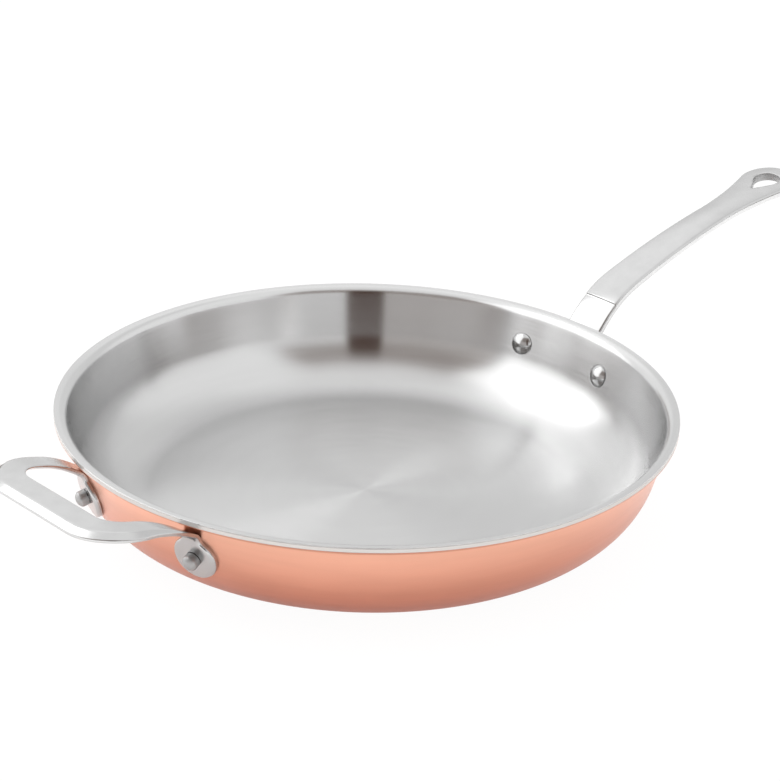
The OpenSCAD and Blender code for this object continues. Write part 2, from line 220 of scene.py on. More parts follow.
def unit(v):
    """Vectors scaled to length 1 along their last axis."""
    return v / np.linalg.norm(v, axis=-1, keepdims=True)


def arc(centre, radius, start, end, n):
    """Points on a circle: centre plus radius times (cos a, sin a), for n angles a in degrees."""
    a = np.radians(np.linspace(start, end, n))
    return np.stack([centre[0] + radius * np.cos(a), centre[1] + radius * np.sin(a)], -1)


def add_object(name, data):
    """Puts a mesh or a camera into the scene as an object."""
    item = bpy.data.objects.new(name, data)
    bpy.context.scene.collection.objects.link(item)
    return item


def put_mesh(name, points, quads, tris, sharp=40):
    """Makes a mesh object from arrays. Its faces are turned outwards by the sign of its
    volume, which is the sum over triangles of a . (b x c) / 6. Edges where the surface
    turns more than the sharp angle, in degrees, stay crisp."""
    fans = np.concatenate([tris, quads[:, [0, 1, 2]], quads[:, [0, 2, 3]]])
    a, b, c = (points[fans[:, k]] for k in range(3))
    if np.einsum("ij,ij->i", a, np.cross(b, c)).sum() < 0:
        quads, tris = quads[:, ::-1], tris[:, ::-1]
    mesh = bpy.data.meshes.new(name)
    mesh.vertices.add(len(points))
    mesh.vertices.foreach_set("co", points.astype(np.float32).ravel())
    corners = np.concatenate([quads.ravel(), tris.ravel()])
    totals = np.concatenate([np.full(len(quads), 4), np.full(len(tris), 3)])
    mesh.loops.add(len(corners))
    mesh.loops.foreach_set("vertex_index", corners.astype(np.int32))
    mesh.polygons.add(len(totals))
    mesh.polygons.foreach_set("loop_start", (np.cumsum(totals) - totals).astype(np.int32))
    mesh.update(calc_edges=True)
    mesh.validate()
    mesh.shade_smooth()
    mesh.set_sharp_from_angle(angle=math.radians(sharp))
    return add_object(name, mesh)


def ring_quads(rows, around):
    """Quads between neighbouring rings, each ring closed on itself."""
    start, k = np.meshgrid(np.arange(rows - 1) * around, np.arange(around), indexing="ij")
    after = (k + 1) % around
    corners = (start + k, start + after, start + around + after, start + around + k)
    return np.stack(corners, -1).reshape(-1, 4)


def closed(rings, poles):
    """Surface through a row of closed rings, an array of rings by points by 3. Triangles
    join the first and the last ring to the two poles. Gives points, quads and triangles."""
    rows, around = rings.shape[:2]
    k = np.arange(around)
    after, last = (k + 1) % around, (rows - 1) * around
    tris = np.concatenate([
        np.stack([np.full(around, rows * around), after, k], -1),
        np.stack([np.full(around, rows * around + 1), last + k, last + after], -1),
    ])
    return np.concatenate([rings.reshape(-1, 3), poles]), ring_quads(rows, around), tris


def turned(profile, turns=288):
    """Surface of revolution. A profile point (r, h) goes round as x = r cos a, y = r sin a,
    z = h. The profile starts and ends on the axis, at the poles."""
    a = np.arange(turns) * 2 * np.pi / turns
    r, h = profile[1:-1, :1], profile[1:-1, 1:]
    rings = np.stack([r * np.cos(a), r * np.sin(a), h * np.ones(turns)], -1)
    return closed(rings, [[0, 0, profile[0, 1]], [0, 0, profile[-1, 1]]])


def swept(rings):
    """Surface through a row of closed rings, with a pole in the middle of each end ring."""
    return closed(rings, rings[[0, -1]].mean(1))


def soft_rings(corners, pulls, steps=4):
    """Closed rings from polygons, an array of rings by corners by 2, with each corner
    rounded. The rounding is the parabola (1-t)^2 A + 2t(1-t) C + t^2 B between points A
    and B at the pull's distance on both sides of corner C, or at 0.42 of the side if that
    is less. Two more points near the ends of each flat keep its shading flat."""
    before, after = np.roll(corners, 1, 1) - corners, np.roll(corners, -1, 1) - corners
    len_b, len_a = (np.linalg.norm(v, axis=-1, keepdims=True) for v in (before, after))
    pull, most = np.asarray(pulls)[..., None], 0.42
    a = corners + before / len_b * np.minimum(pull, most * len_b)
    b = corners + after / len_a * np.minimum(pull, most * len_a)
    t = np.linspace(0, 1, steps)[:, None]
    a, c, b = (v[:, :, None, :] for v in (a, corners, b))
    bends = (1 - t) ** 2 * a + 2 * t * (1 - t) * c + t**2 * b
    flats = b + (np.roll(a, -1, 1) - b) * np.array([0.08, 0.92])[:, None]
    return np.concatenate([bends, flats], 2).reshape(len(corners), -1, 2)


def rounded_pair(corners, pull, steps=4):
    """The stretch of a rounded polygon with four corners that holds its second and third."""
    ring = soft_rings(np.stack(corners)[None], np.full((1, 4), pull), steps)[0]
    per = len(ring) // 4
    return ring[per : 3 * per - 2]


# The wall's section, shared by the sheet, the flange, the pads and the rivets


def wall_section(sizes):
    """Places in the section (radius, height) of the bowl. The cooking face is a level floor,
    a bend about corner_c, a straight leaning wall and a bend about lip_c into the lip. A
    depth is measured from it outwards through the sheet."""
    lean, rise = sizes.wall_lean, sizes.lip_rise
    t = sizes.lining_t + sizes.core_t + sizes.copper_t
    rim_r = sizes.rim_d / 2
    bend_r, lip_r = sizes.corner_r - t, sizes.lip_bend_r + t
    up = np.array([math.sin(lean), math.cos(lean)])
    out = np.array([math.cos(lean), -math.sin(lean)])
    along = np.array([math.cos(rise), math.sin(rise)])
    down = np.array([math.sin(rise), -math.cos(rise)])
    knuckle = np.array([rim_r - sizes.lip_w, sizes.pan_h - sizes.lip_w * math.tan(rise)])
    run = (knuckle[1] + bend_r * math.sin(lean) - sizes.corner_r) / math.cos(lean)
    corner_c = knuckle - run * up - bend_r * out
    half = (math.pi / 2 + lean + rise) / 2
    lip_c = knuckle + lip_r / math.tan(half) * along + lip_r * down
    return SimpleNamespace(
        t=t, rim_r=rim_r, bend_r=bend_r, lip_r=lip_r, up=up, out=out, along=along,
        corner_c=corner_c, lip_c=lip_c, lean=lean, rise=rise, knuckle=knuckle,
        foot=corner_c + bend_r * out, pan_h=sizes.pan_h,
    )


def sheet_path(sec, depth):
    """The section's line at a depth, from the axis to the lip's edge: floor, bend of radius
    bend_r + depth, wall, bend of radius lip_r - depth and lip."""
    floor_points, bend_points, wall_points, lip_points = 24, 49, 12, 15
    lean, rise = math.degrees(sec.lean), math.degrees(sec.rise)
    level = np.linspace(0, sec.corner_c[0], floor_points)
    floor = np.stack([level, np.full(floor_points, sec.t - depth)], -1)
    bend = arc(sec.corner_c, sec.bend_r + depth, -90, -lean, bend_points)
    lip_bend = arc(sec.lip_c, sec.lip_r - depth, 180 - lean, 90 + rise, lip_points)
    up_wall = np.linspace(0, 1, wall_points + 2)[1:-1, None]
    wall = bend[-1] + (lip_bend[0] - bend[-1]) * up_wall
    run = (sec.rim_r - lip_bend[-1, 0]) / sec.along[0]
    lip = lip_bend[-1] + run * sec.along * np.array([0.15, 0.5, 0.85, 1])[:, None]
    return np.concatenate([floor[:-1], bend, wall, lip_bend, lip])


def on_wall(sec, turn, up, depth):
    """Place on the bowl at an angle seen from above, a distance up the wall from where the
    bend ends, and a depth. Below the bend's end the distance runs down the bend."""
    turn, up, depth = np.broadcast_arrays(turn, up, depth)
    a = np.where(up < 0, up / (sec.bend_r + sec.t) - sec.lean, -sec.lean)
    r = sec.corner_c[0] + (sec.bend_r + depth) * np.cos(a) + np.maximum(up, 0) * sec.up[0]
    z = sec.corner_c[1] + (sec.bend_r + depth) * np.sin(a) + np.maximum(up, 0) * sec.up[1]
    return np.stack([r * np.cos(turn), r * np.sin(turn), z], -1)


def rivet_up(sec, drop):
    """Distance up the wall at which a rivet lies, the given drop below the lip."""
    return (sec.pan_h - drop - sec.foot[1]) / math.cos(sec.lean)


def handle_rivet_turn(sec, sizes):
    """Angle from the handle's middle to each of its rivets, seen from above."""
    r = sec.foot[0] + rivet_up(sec, sizes.rivet_drop) * sec.up[0]
    return math.asin(sizes.rivet_gap / 2 / r)


# The bonded sheet


def sheet_layer(sec, inner, outer, edge_soft):
    """Closed section of one layer: the line at its inner depth out to the lip's edge, the
    cut edge with two soft corners, and the line at its outer depth back to the axis."""
    top, under = sheet_path(sec, inner), sheet_path(sec, outer)
    edge = rounded_pair([top[-2], top[-1], under[-1], under[-2]], edge_soft)
    return np.concatenate([top[:-1], edge, under[:-1][::-1]])


class PAN_OT_bowl(bpy.types.Operator):
    """Builds the bowl's three bonded layers as surfaces of revolution"""

    bl_idname = "pan.bowl"
    bl_label = "Bowl"

    def execute(self, context):
        sizes = context.scene.pan_sheet
        sec = wall_section(sizes)
        lining, core = sizes.lining_t, sizes.lining_t + sizes.core_t
        polished_edge, cut_edge = 0.25 * MM, 0.12 * MM
        layers = (
            ("lining", "steel_lining", "lining_steel", 0, lining, polished_edge, brushed_stainless),
            ("core", "aluminium_core", "core_aluminium", lining, core, cut_edge, cut_aluminium),
            ("copper", "copper_shell", "copper", core, sec.t, cut_edge, brushed_copper),
        )
        for name, node, slot, inner, outer, edge, finish in layers:
            layer = turned(sheet_layer(sec, inner, outer, edge))
            piece = put_mesh("bowl_" + name, *layer, sharp=50)
            dress(piece, finish(context.scene.pan_finish), node)
        return {"FINISHED"}


# The long handle


def handle_rise(sizes, s):
    """Slope of the handle's top face at a length s along it: steep along the root, falling
    evenly round the knee and then slowly along the shaft."""
    knee_end = sizes.root_len + sizes.knee_r * sizes.knee_angle
    turn = np.interp(s, [sizes.root_len, knee_end], [0, sizes.knee_angle])
    slow = np.interp(s, [knee_end, knee_end + sizes.shaft_len], [0, sizes.shaft_angle])
    return sizes.root_rise - turn - slow


def handle_marks(sizes):
    """Lengths along the handle at which its shaft ends, its end's circle begins, and that
    circle's centre lies. The circle touches the hollow's circle from outside."""
    end_start = sizes.root_len + sizes.knee_r * sizes.knee_angle + sizes.shaft_len
    total = sizes.end_r + sizes.end_fillet_r
    reach = math.sqrt(total**2 - (sizes.waist_w / 2 + sizes.end_fillet_r) ** 2)
    return end_start, end_start + reach * (1 - sizes.end_r / total), end_start + reach


def handle_half_width(sizes, s):
    """Half of the bar's width at a length s: a cosine flare at the root, a straight taper,
    the hollow's circle and the end's circle."""
    end_start, end_touch, end_c = handle_marks(sizes)
    neck, waist, flare_len = sizes.neck_w / 2, sizes.waist_w / 2, sizes.root_flare_len
    flared = np.cos(np.pi * np.clip(s / flare_len, 0, 1))
    flare = neck + (sizes.root_w / 2 - neck) / 2 * (1 + flared)
    taper = neck - (neck - waist) * (s - flare_len) / (end_start - flare_len)
    hollow_r = sizes.end_fillet_r
    hollow = waist + hollow_r - np.sqrt(np.maximum(hollow_r**2 - (s - end_start) ** 2, 0))
    end = np.sqrt(np.maximum(sizes.end_r**2 - (s - end_c) ** 2, 0))
    stretches = [s < flare_len, s < end_start, s < end_touch]
    return np.select(stretches, [flare, taper, hollow], end)


def handle_line(sec, sizes, s):
    """Place of the top face's middle line at lengths s, as (radius, height): the foot on the
    copper plus the sum of (cos rise, sin rise) along the way, in steps of 0.05 mm."""
    fine = np.linspace(-20 * MM, 250 * MM, 5401)
    step = fine[1] - fine[0]
    rise = handle_rise(sizes, (fine[1:] + fine[:-1]) / 2)
    foot_z = sec.pan_h - sizes.drop
    copper_r = sec.knuckle[0] + sec.t / math.cos(sec.lean)
    foot_r = copper_r - (sec.knuckle[1] - foot_z) * math.tan(sec.lean)
    places = []
    for foot, way in ((foot_r, np.cos(rise)), (foot_z, np.sin(rise))):
        run = np.concatenate([[0], np.cumsum(way * step)])
        places.append(np.interp(s, fine, run - np.interp(0, fine, run) + foot))
    return places


# Where along the knee, as a share of it, the shaft's top face begins with a small ledge
LEDGE_SHARE = 0.37


def handle_bar(sec, sizes):
    """Rings of the bar. Each is a rounded oblong with a top face crowned by 1 - x^2, set
    square to the line. The top face rises at the ledge by t^2 (3 - 2t). At the tip the width
    follows the end's circle and the edges roll over along a quarter circle."""
    _, end_touch, end_c = handle_marks(sizes)
    knee = sizes.knee_r * sizes.knee_angle
    ledge = sizes.root_len + LEDGE_SHARE * knee
    before, after, ledge_run = ledge - 1.2 * MM, ledge + 1.8 * MM, 1.15 * sizes.ledge_h
    tip = math.sqrt(sizes.end_r**2 - (2 * sizes.edge_r) ** 2)
    # The last ring stops 1.5 degrees short of the end circle's tip, so that it has a width.
    start_a, last_a = math.asin((end_c - end_touch) / sizes.end_r), -math.radians(88.5)
    wall_rings, root_rings, ledge_rings, shaft_rings, end_rings = 4, 26, 11, 110, 46
    round_a = np.linspace(start_a, last_a, end_rings)[1:]
    squeeze = np.where(round_a < 0, tip / sizes.end_r, 1)
    inside_wall = -6 * MM
    s = np.concatenate([
        np.linspace(inside_wall, 0, wall_rings)[:-1],
        np.linspace(0, before, root_rings)[:-1],
        np.linspace(before, after, ledge_rings),
        np.linspace(after, end_touch, shaft_rings)[1:],
        end_c - sizes.end_r * np.sin(round_a) * squeeze,
    ])
    unsqueezed = np.where(s > end_c, end_c + (s - end_c) * sizes.end_r / tip, s)
    least_hw, crowned_hw = 0.3 * MM, 8 * MM
    hw = np.maximum(handle_half_width(sizes, unsqueezed), least_hw)
    t = np.clip((s - ledge) / ledge_run, 0, 1)
    drop = sizes.ledge_h * (1 - t * t * (3 - 2 * t))
    to_tip = np.clip((end_c + tip - s) / sizes.edge_r, 0, 1)
    roll = sizes.edge_r * (1 - np.sqrt(1 - (1 - to_tip) ** 2)) * 0.9
    edge = np.minimum(sizes.edge_r, 0.8 * hw)[:, None]
    wide = hw[:, None] - edge
    crown = (sizes.crown * np.clip(hw / crowned_hw, 0, 1))[:, None]
    top_z, low_z = (-drop - roll)[:, None], (-sizes.bar_t + roll)[:, None]

    def bend(side, way, first, last):
        a = np.radians(np.linspace(first, last, 6))[None]
        base = (top_z if way > 0 else low_z) - way * edge
        return np.stack([side * wide + edge * np.cos(a), base + edge * np.sin(a)], -1)

    across, low_across = np.linspace(-1, 1, 13)[1:-1], np.array([4, 1, 0, -1, -4]) / 6
    top = np.stack([across * wide, top_z + crown * (1 - across**2)], -1)
    under = np.stack([low_across * wide, low_z + 0 * low_across], -1)
    right = bend(1, 1, 90, 0), bend(1, -1, 0, -90)
    left = bend(-1, -1, -90, -180), bend(-1, 1, 180, 90)
    ring = np.concatenate([top, *right, under, *left], 1)
    r, z = handle_line(sec, sizes, s)
    a = handle_rise(sizes, s)[:, None]
    up = ring[..., 1]
    return np.stack([r[:, None] - up * np.sin(a), -ring[..., 0], z[:, None] + up * np.cos(a)], -1)


def trim_to_wall(sec, rings, sink):
    """Slides every point of the rings that lies deeper than the copper's outside back along
    its own row, so that the bar's end follows the wall. A row's point number i moves to where
    the row crosses the cone at a depth of t + sink."""
    skin = sec.foot + (sec.t + sink) * sec.out
    cone_r = skin[0] + (rings[..., 2] - skin[1]) * math.tan(sec.lean)
    gap = np.hypot(rings[..., 0], rings[..., 1]) - cone_r
    i = np.argmax(gap > 0, 0)
    k = np.arange(rings.shape[1])
    inner, outer = gap[i - 1, k], gap[i, k]
    part = (-inner / (outer - inner))[:, None]
    cross = rings[i - 1, k] + (rings[i, k] - rings[i - 1, k]) * part
    first = i.max()
    shares = np.linspace(0, 1, 8)[:, None, None]
    return np.concatenate([cross + (rings[first] - cross) * shares, rings[first + 1 :]])


def hull_outline(circles, n):
    """Outline of the convex hull of circles (x, y, r), with n points spaced evenly along it
    and their outward directions. In a direction d the outline's point is that of the circle
    for which centre . d + r is largest. The directions are an eighth of a degree apart."""
    a = np.linspace(0, 2 * np.pi, 8 * 360 + 1)
    d = np.stack([np.cos(a), np.sin(a)], -1)
    c = np.asarray(circles)
    best = np.argmax(d @ c[:, :2].T + c[:, 2], 1)
    p = c[best, :2] + c[best, 2:] * d
    run = np.concatenate([[0], np.cumsum(np.linalg.norm(np.diff(p, axis=0), axis=1))])
    at = np.linspace(0, run[-1], n + 1)[:-1]
    pick = [np.interp(at, run, v) for v in (p[:, 0], p[:, 1], a)]
    return np.stack(pick[:2], -1), np.stack([np.cos(pick[2]), np.sin(pick[2])], -1)


def pillow(sec, outline, outwards, ref_r, up_at, thick, soft):
    """Closed plate on the copper. Its rings are the outline shrunk towards the middle on the
    outer face, then the outline moved inwards by soft (1 - cos q) at the quarter circle's
    height, thick - soft + soft sin q, and the shrunk outline on the copper. Sideways lengths
    become angles round the pan."""
    q = np.radians(np.linspace(90, 0, 7))
    inset, height = soft * (1 - np.cos(q)), thick - soft + soft * np.sin(q)
    rims = outline - outwards * inset[:, None, None]
    face = rims[0] * np.array([0.03, 0.25, 0.5, 0.75, 0.9, 0.97])[:, None, None]
    back = outline * np.array([1, 0.9, 0.5, 0.03])[:, None, None]
    flat = np.concatenate([face, rims, back])
    high = np.concatenate([np.full(len(face), thick), height, np.zeros(len(back))])
    return on_wall(sec, flat[..., 0] / ref_r, up_at + flat[..., 1], sec.t + high[:, None])


def teardrop(sizes, scale):
    """Outline of the hanging hole: a circle of hole_r and the two lines that touch it from
    the point, whose tip is rounded as a parabola. Scaled about the circle's centre, all of it
    moves outwards alike."""
    touch = math.degrees(math.acos(sizes.hole_r / sizes.hole_point))
    round_end = arc((0, 0), sizes.hole_r, -180 + touch, 180 - touch, 96)
    point, nose = np.array([-sizes.hole_point, 0]), 0.9 * MM
    a, b = (point + unit(end - point) * nose for end in round_end[[-1, 0]])
    t = np.linspace(0, 1, 7)[:, None]
    tip = (1 - t) ** 2 * a + 2 * t * (1 - t) * point + t**2 * b
    return np.concatenate([round_end, tip]) * scale


def hole_frame(sec, sizes):
    """Centre of the hanging hole's circle on the top face, and the directions along the
    handle and out of that face."""
    at = np.array([handle_marks(sizes)[2]])
    (r,), (z,) = handle_line(sec, sizes, at)
    a = handle_rise(sizes, at)[0]
    along, up = np.array([math.cos(a), 0, math.sin(a)]), np.array([-math.sin(a), 0, math.cos(a)])
    return np.array([r, 0, z]), along, up


def hole_cutter(sec, sizes):
    """Rings of the cutter for the hanging hole. It is the teardrop carried along the plate's
    normal, and widens at both faces along a quarter circle, so that the hole's edges are
    rounded."""
    centre, along, up = hole_frame(sec, sizes)
    soft, past = 0.55 * MM, 3 * MM
    q = np.radians(np.linspace(0, 84, 8))
    flare, rise = soft * (1 - np.cos(q)), soft * np.sin(q)
    top, low = sizes.crown * 0.9 - soft, -sizes.bar_t + soft
    high = np.concatenate([[low - past], (low - rise)[::-1], top + rise, [top + past]])
    wide = np.concatenate([[flare[-1] + past], flare[::-1], flare, [flare[-1] + past]])
    scale = (1 + wide / sizes.hole_r)[:, None, None]
    plan = teardrop(sizes, scale)
    sideways = np.array([0.0, -1.0, 0.0])
    return centre + plan[..., :1] * along + plan[..., 1:] * sideways + high[:, None, None] * up


def combine(piece, tool, way):
    """Joins a closed tool mesh to the piece, or cuts it away, and applies that. Edges of more
    than 40 degrees stay crisp."""
    mod = piece.modifiers.new("combine", "BOOLEAN")
    mod.operation, mod.object, mod.solver = way, tool, "EXACT"
    context = bpy.context
    context.view_layer.update()
    done = bpy.data.meshes.new_from_object(piece.evaluated_get(context.evaluated_depsgraph_get()))
    piece.modifiers.clear()
    old, piece.data = piece.data, done
    bpy.data.meshes.remove(old)
    bpy.data.objects.remove(tool)
    done.shade_smooth()
    done.set_sharp_from_angle(angle=math.radians(40))


def in_hole(piece, sec, sizes):
    """Which faces line the hanging hole: those near its centre that look towards its axis."""
    centre, _, up = hole_frame(sec, sizes)
    faces = piece.data.polygons
    middle, normal = np.zeros((2, len(faces), 3), np.float32)
    faces.foreach_get("center", middle.ravel())
    faces.foreach_get("normal", normal.ravel())
    off = middle - centre
    off -= (off @ up)[:, None] * up
    spare, level = 0.5 * MM, 0.8
    near = np.linalg.norm(off, axis=1) < sizes.hole_point + spare
    return near & ((normal * off).sum(1) < 0) & (np.abs(normal @ up) < level)


class PAN_OT_long_handle(bpy.types.Operator):
    """Builds the long handle: a swept bar, its flange on the wall and the hanging hole"""

    bl_idname = "pan.long_handle"
    bl_label = "Long handle"

    def execute(self, context):
        sizes = context.scene.pan_long_handle
        sec = wall_section(context.scene.pan_sheet)
        sink, flange_soft, outline_points = 1.2 * MM, 1.0 * MM, 160
        rings = trim_to_wall(sec, handle_bar(sec, sizes), sink)
        piece = put_mesh("long_handle_body", *swept(rings))
        combine(piece, put_mesh("hole_tool", *swept(hole_cutter(sec, sizes))), "DIFFERENCE")
        up_at = rivet_up(sec, sizes.rivet_drop)
        turn = handle_rivet_turn(sec, sizes)
        ref_r = sec.foot[0] + up_at * sec.up[0] + sec.t + sizes.flange_t / 2
        middle = (sizes.root_w - sizes.flange_h) / 2
        circles = [(k * turn * ref_r, 0, sizes.flange_ear_r) for k in (-1, 1)]
        circles += [(k * middle, 0, sizes.flange_h / 2) for k in (-1, 1)]
        outline, outwards = hull_outline(circles, outline_points)
        plate = pillow(sec, outline, outwards, ref_r, up_at, sizes.flange_t, flange_soft)
        combine(piece, put_mesh("flange_tool", *swept(plate)), "UNION")
        finish = context.scene.pan_finish
        dress(piece, polished_casting(finish), "long_handle")
        # The hole's inside is rougher, as unpolished cast skin, and its colour is darkened to 0.66:
        # painted shade of the recess.
        skin = rivet_metal(finish, "cast_hole_skin_and_shade", shade=0.66, rough=0.45)
        second_metal(piece, skin, in_hole(piece, sec, sizes))
        return {"FINISHED"}


# The helper handle


def helper_frame(sec, sizes):
    """Places that the loop is drawn from, in its own frame with its reach along +X: the
    front's line, the centre of a corner, the way to a pad, and the bend between arm and pad,
    which touches both the arm's slope and the copper."""
    front = sec.rim_r + sizes.reach - sizes.loop_w / 2
    corner = np.array([front - sizes.corner_r, sizes.spread / 2 - sizes.corner_r])
    turn = sizes.rivet_angle / 2
    ray = np.array([math.cos(turn), math.sin(turn)])
    tilt = math.asin((front - sec.rim_r * ray[0]) / sizes.arch_r)
    slope = math.atan(math.tan(tilt) * ray[0])
    arch_z = sec.pan_h + sizes.lift - sizes.arch_r * (1 - math.cos(tilt))
    level_z = arch_z - sec.rim_r * math.tan(slope)
    lean = math.tan(sec.lean)
    copper_r = sec.knuckle[0] + sec.t / math.cos(sec.lean)
    foot_r = (copper_r - lean * (sec.knuckle[1] - level_z)) / (1 - lean * math.tan(slope))
    reach = sizes.tab_bend_r * math.tan((math.pi / 2 - sec.lean - slope) / 2)
    foot = np.array([foot_r, level_z + foot_r * math.tan(slope)])
    top = foot + reach * np.array([math.cos(slope), math.sin(slope)])
    centre = top + sizes.tab_bend_r * np.array([math.sin(slope), -math.cos(slope)])
    return SimpleNamespace(front=front, corner=corner, ray=ray, slope=slope, top=top, centre=centre)


# Stands for the distance below the bend on those rings of the loop that lie before it
BEFORE_BEND = -1.0


def half_loop(sec, sizes):
    """Middle line of half of the loop, from its front to the tip of a pad, as places, the
    direction out of the top face, the share of full width, the distance below the bend and
    how far it has turned on to the round wall, with the arm's length below the bend. The plan
    is a straight front, a quarter circle and a cubic curve, the height is an arch of radius
    arch_r, and then come the bend and the straight wall."""
    front_points, corner_points, arm_points, bend_points, pad_points = 14, 40, 34, 15, 34
    f = helper_frame(sec, sizes)
    a = np.radians(np.linspace(90, 0, corner_points))
    across = np.linspace(0, f.corner[1], front_points)
    front = np.stack([np.full(front_points, f.front), across], -1)
    corner = f.corner + sizes.corner_r * np.stack([np.sin(a), np.cos(a)], -1)
    start, end = np.array([f.corner[0], sizes.spread / 2]), f.top[0] * f.ray
    pull = np.linalg.norm(end - start) / 3
    u = np.linspace(0, 1, arm_points)[:, None]
    p, q, r, s = start, start - [pull, 0], end + pull * f.ray, end
    arm = (1 - u) ** 3 * p + 3 * u * (1 - u) ** 2 * q + 3 * u * u * (1 - u) * r + u**3 * s
    plan = np.concatenate([front[:-1], corner, arm[1:]])
    tilt = np.arcsin(np.clip((f.front - plan[:, 0]) / sizes.arch_r, 0, 1))
    height = sec.pan_h + sizes.lift - sizes.arch_r * (1 - np.cos(tilt))
    straight = np.tile([1.0, 0], (len(plan) - arm_points + 1, 1))
    side = np.concatenate([straight, unit((1 - u) * [1, 0] + u * f.ray)[1:]])
    up = np.concatenate([-np.sin(tilt)[:, None] * side, np.cos(tilt)[:, None]], 1)
    place = np.concatenate([plan, height[:, None]], 1)
    narrow_x = f.corner[0] + 0.3 * sizes.corner_r
    wide = np.clip((plan[:, 0] - end[0]) / (narrow_x - end[0]), 0, 1)

    b = np.linspace(f.slope, math.pi / 2 - sec.lean, bend_points + 1)[1:]
    rz = f.centre + sizes.tab_bend_r * np.stack([-np.sin(b), np.cos(b)], -1)
    bend = np.concatenate([rz[:, :1] * f.ray, rz[:, 1:]], 1)
    bend_up = np.concatenate([-np.sin(b)[:, None] * f.ray, np.cos(b)[:, None]], 1)
    bend_below = (b - b[-1]) * sizes.tab_bend_r

    tab_at = (rz[-1] - sec.foot - sec.t * sec.out) @ sec.up
    tab_len = tab_at - rivet_up(sec, sizes.rivet_drop)
    # The pad stops just short of its circle's lowest point, so that its last ring has a width.
    down = sizes.pad_r * np.sin(np.linspace(0, math.pi / 2, pad_points)) * 0.9995
    below = np.concatenate([np.linspace(0, tab_len, 9)[1:-1], tab_len + down])
    turn = math.atan2(f.ray[1], f.ray[0])
    pad, deeper = (on_wall(sec, turn, tab_at - below, sec.t + depth) for depth in (0, MM))
    place = np.concatenate([place, bend, pad])
    up = np.concatenate([up, bend_up, unit(pad - deeper)])
    share_w = np.concatenate([wide, np.zeros(len(bend) + len(pad))])
    drop = np.concatenate([np.full(len(plan), BEFORE_BEND), bend_below, below])
    on_bend = np.linspace(0, 1, bend_points)
    lay = np.concatenate([np.zeros(len(plan)), on_bend, np.ones(len(pad))])
    return place, up, share_w, drop, lay, tab_len


def loop_rings(sec, sizes):
    """Rings of the whole helper handle, from the tip of one pad over the loop to the tip of
    the other. A ring is a flat plate with a bevel along its outer edge and a thin inner edge.
    On the pads its width follows the circle of pad_r, its edges roll over at the tip, and it
    bends with the round wall by x^2 / 2r."""
    place, up, wide, below, lay, tab_len = half_loop(sec, sizes)
    place, up = (np.concatenate([(v * [1, -1, 1])[:0:-1], v]) for v in (place, up))
    wide, below, lay = (np.concatenate([v[:0:-1], v]) for v in (wide, below, lay))
    # The width changes softly: it is a running mean under a raised cosine of seven rings.
    cosine = np.hanning(9)[1:-1]
    wide = np.convolve(np.pad(wide, 3, mode="edge"), cosine / cosine.sum(), "valid")

    tab, soft, least_hw = sizes.tab_w / 2, 0.7 * MM, 0.35 * MM
    circle = np.sqrt(np.maximum(sizes.pad_r**2 - (below - tab_len) ** 2, 0))
    # The root of a sum of sixth powers blends the arm's width into the pad's circle.
    both = (tab**6 + circle**6) ** (1 / 6)
    pad_hw = np.where(below > tab_len / 2, circle, both)
    loop_hw = tab + (sizes.loop_w / 2 - tab) * wide
    hw = np.maximum(np.where(below > BEFORE_BEND, pad_hw, loop_hw), least_hw)
    to_tip = np.clip((tab_len + sizes.pad_r - below) / soft, 0, 1)
    t = sizes.loop_t - soft * (1 - np.sqrt(1 - (1 - to_tip) ** 2))
    # The bevel shrinks to a fine softened edge on the arms and the pads. Their upright edges
    # take 0.65 of the thickness, and the loop's thin inner edge takes 0.3 of it.
    fine_bevel, fine_fall = 0.2 * MM, 0.12 * MM
    out = hw + np.maximum(sizes.bevel_w * wide, fine_bevel * (hw > MM))
    fall = np.maximum(sizes.bevel_drop * wide, fine_fall)
    ridge = hw - MM * wide
    arm_side = 0.65 * t
    low = arm_side + (sizes.outer_edge_t + sizes.bevel_drop - arm_side) * wide
    inner_low = arm_side + (0.3 * t - arm_side) * wide
    zero = np.zeros(len(hw))
    # How far the underside's corners lie back from the outer and the inner edge.
    outer_back, inner_back = 1.1 * MM, (0.9 + 1.7 * wide) * MM
    under, inner_under = (np.maximum(hw - back, 0.3 * hw) for back in (outer_back, inner_back))
    corners = np.stack([
        [-hw, ridge, out, out, under, -inner_under, -hw],
        [zero, zero, -fall, -low, -t, -t, -inner_low],
    ])
    pulls = np.array([0.5, 0.5, 0.45, 0.5, 0.8, 0.9, 0.5]) * MM
    ring = soft_rings(corners.T, np.broadcast_to(pulls, (len(hw), len(pulls))), steps=5)
    along = unit(np.gradient(place, axis=0))
    outwards = unit(np.cross(along, up))
    true_up = np.cross(outwards, along)
    flat = place[:, None] + ring[..., :1] * outwards[:, None] + ring[..., 1:] * true_up[:, None]
    r = np.hypot(place[:, 0], place[:, 1])
    radial = np.concatenate([place[:, :2] / r[:, None], zero[:, None]], 1)
    sag = (lay / (2 * r))[:, None] * ring[..., 0] ** 2
    return (flat - sag[..., None] * radial[:, None]) * [-1, -1, 1]


class PAN_OT_helper_handle(bpy.types.Operator):
    """Builds the helper handle as one plate swept from pad to pad"""

    bl_idname = "pan.helper_handle"
    bl_label = "Helper handle"

    def execute(self, context):
        sizes = context.scene.pan_helper_handle
        sec = wall_section(context.scene.pan_sheet)
        piece = put_mesh("helper_handle_body", *swept(loop_rings(sec, sizes)), sharp=60)
        dress(piece, polished_casting(context.scene.pan_finish), "helper_handle")
        return {"FINISHED"}


# The rivets


def cap_line(d, h, n, base, way):
    """Half section of a domed cap of diameter d and height h, with n points from its rim to
    its top. It stands on a base height, upwards if the way is 1 and downwards if it is -1.
    The dome is a sphere of radius (d^2 / 4 + h^2) / 2h."""
    r = (d * d / 4 + h * h) / (2 * h)
    edge = math.degrees(math.asin(min(1, d / 2 / r)))
    line = arc((0, 0), r, 90 - edge, 90, n)
    return np.stack([line[:, 0], base + way * (line[:, 1] - r + h)], -1)


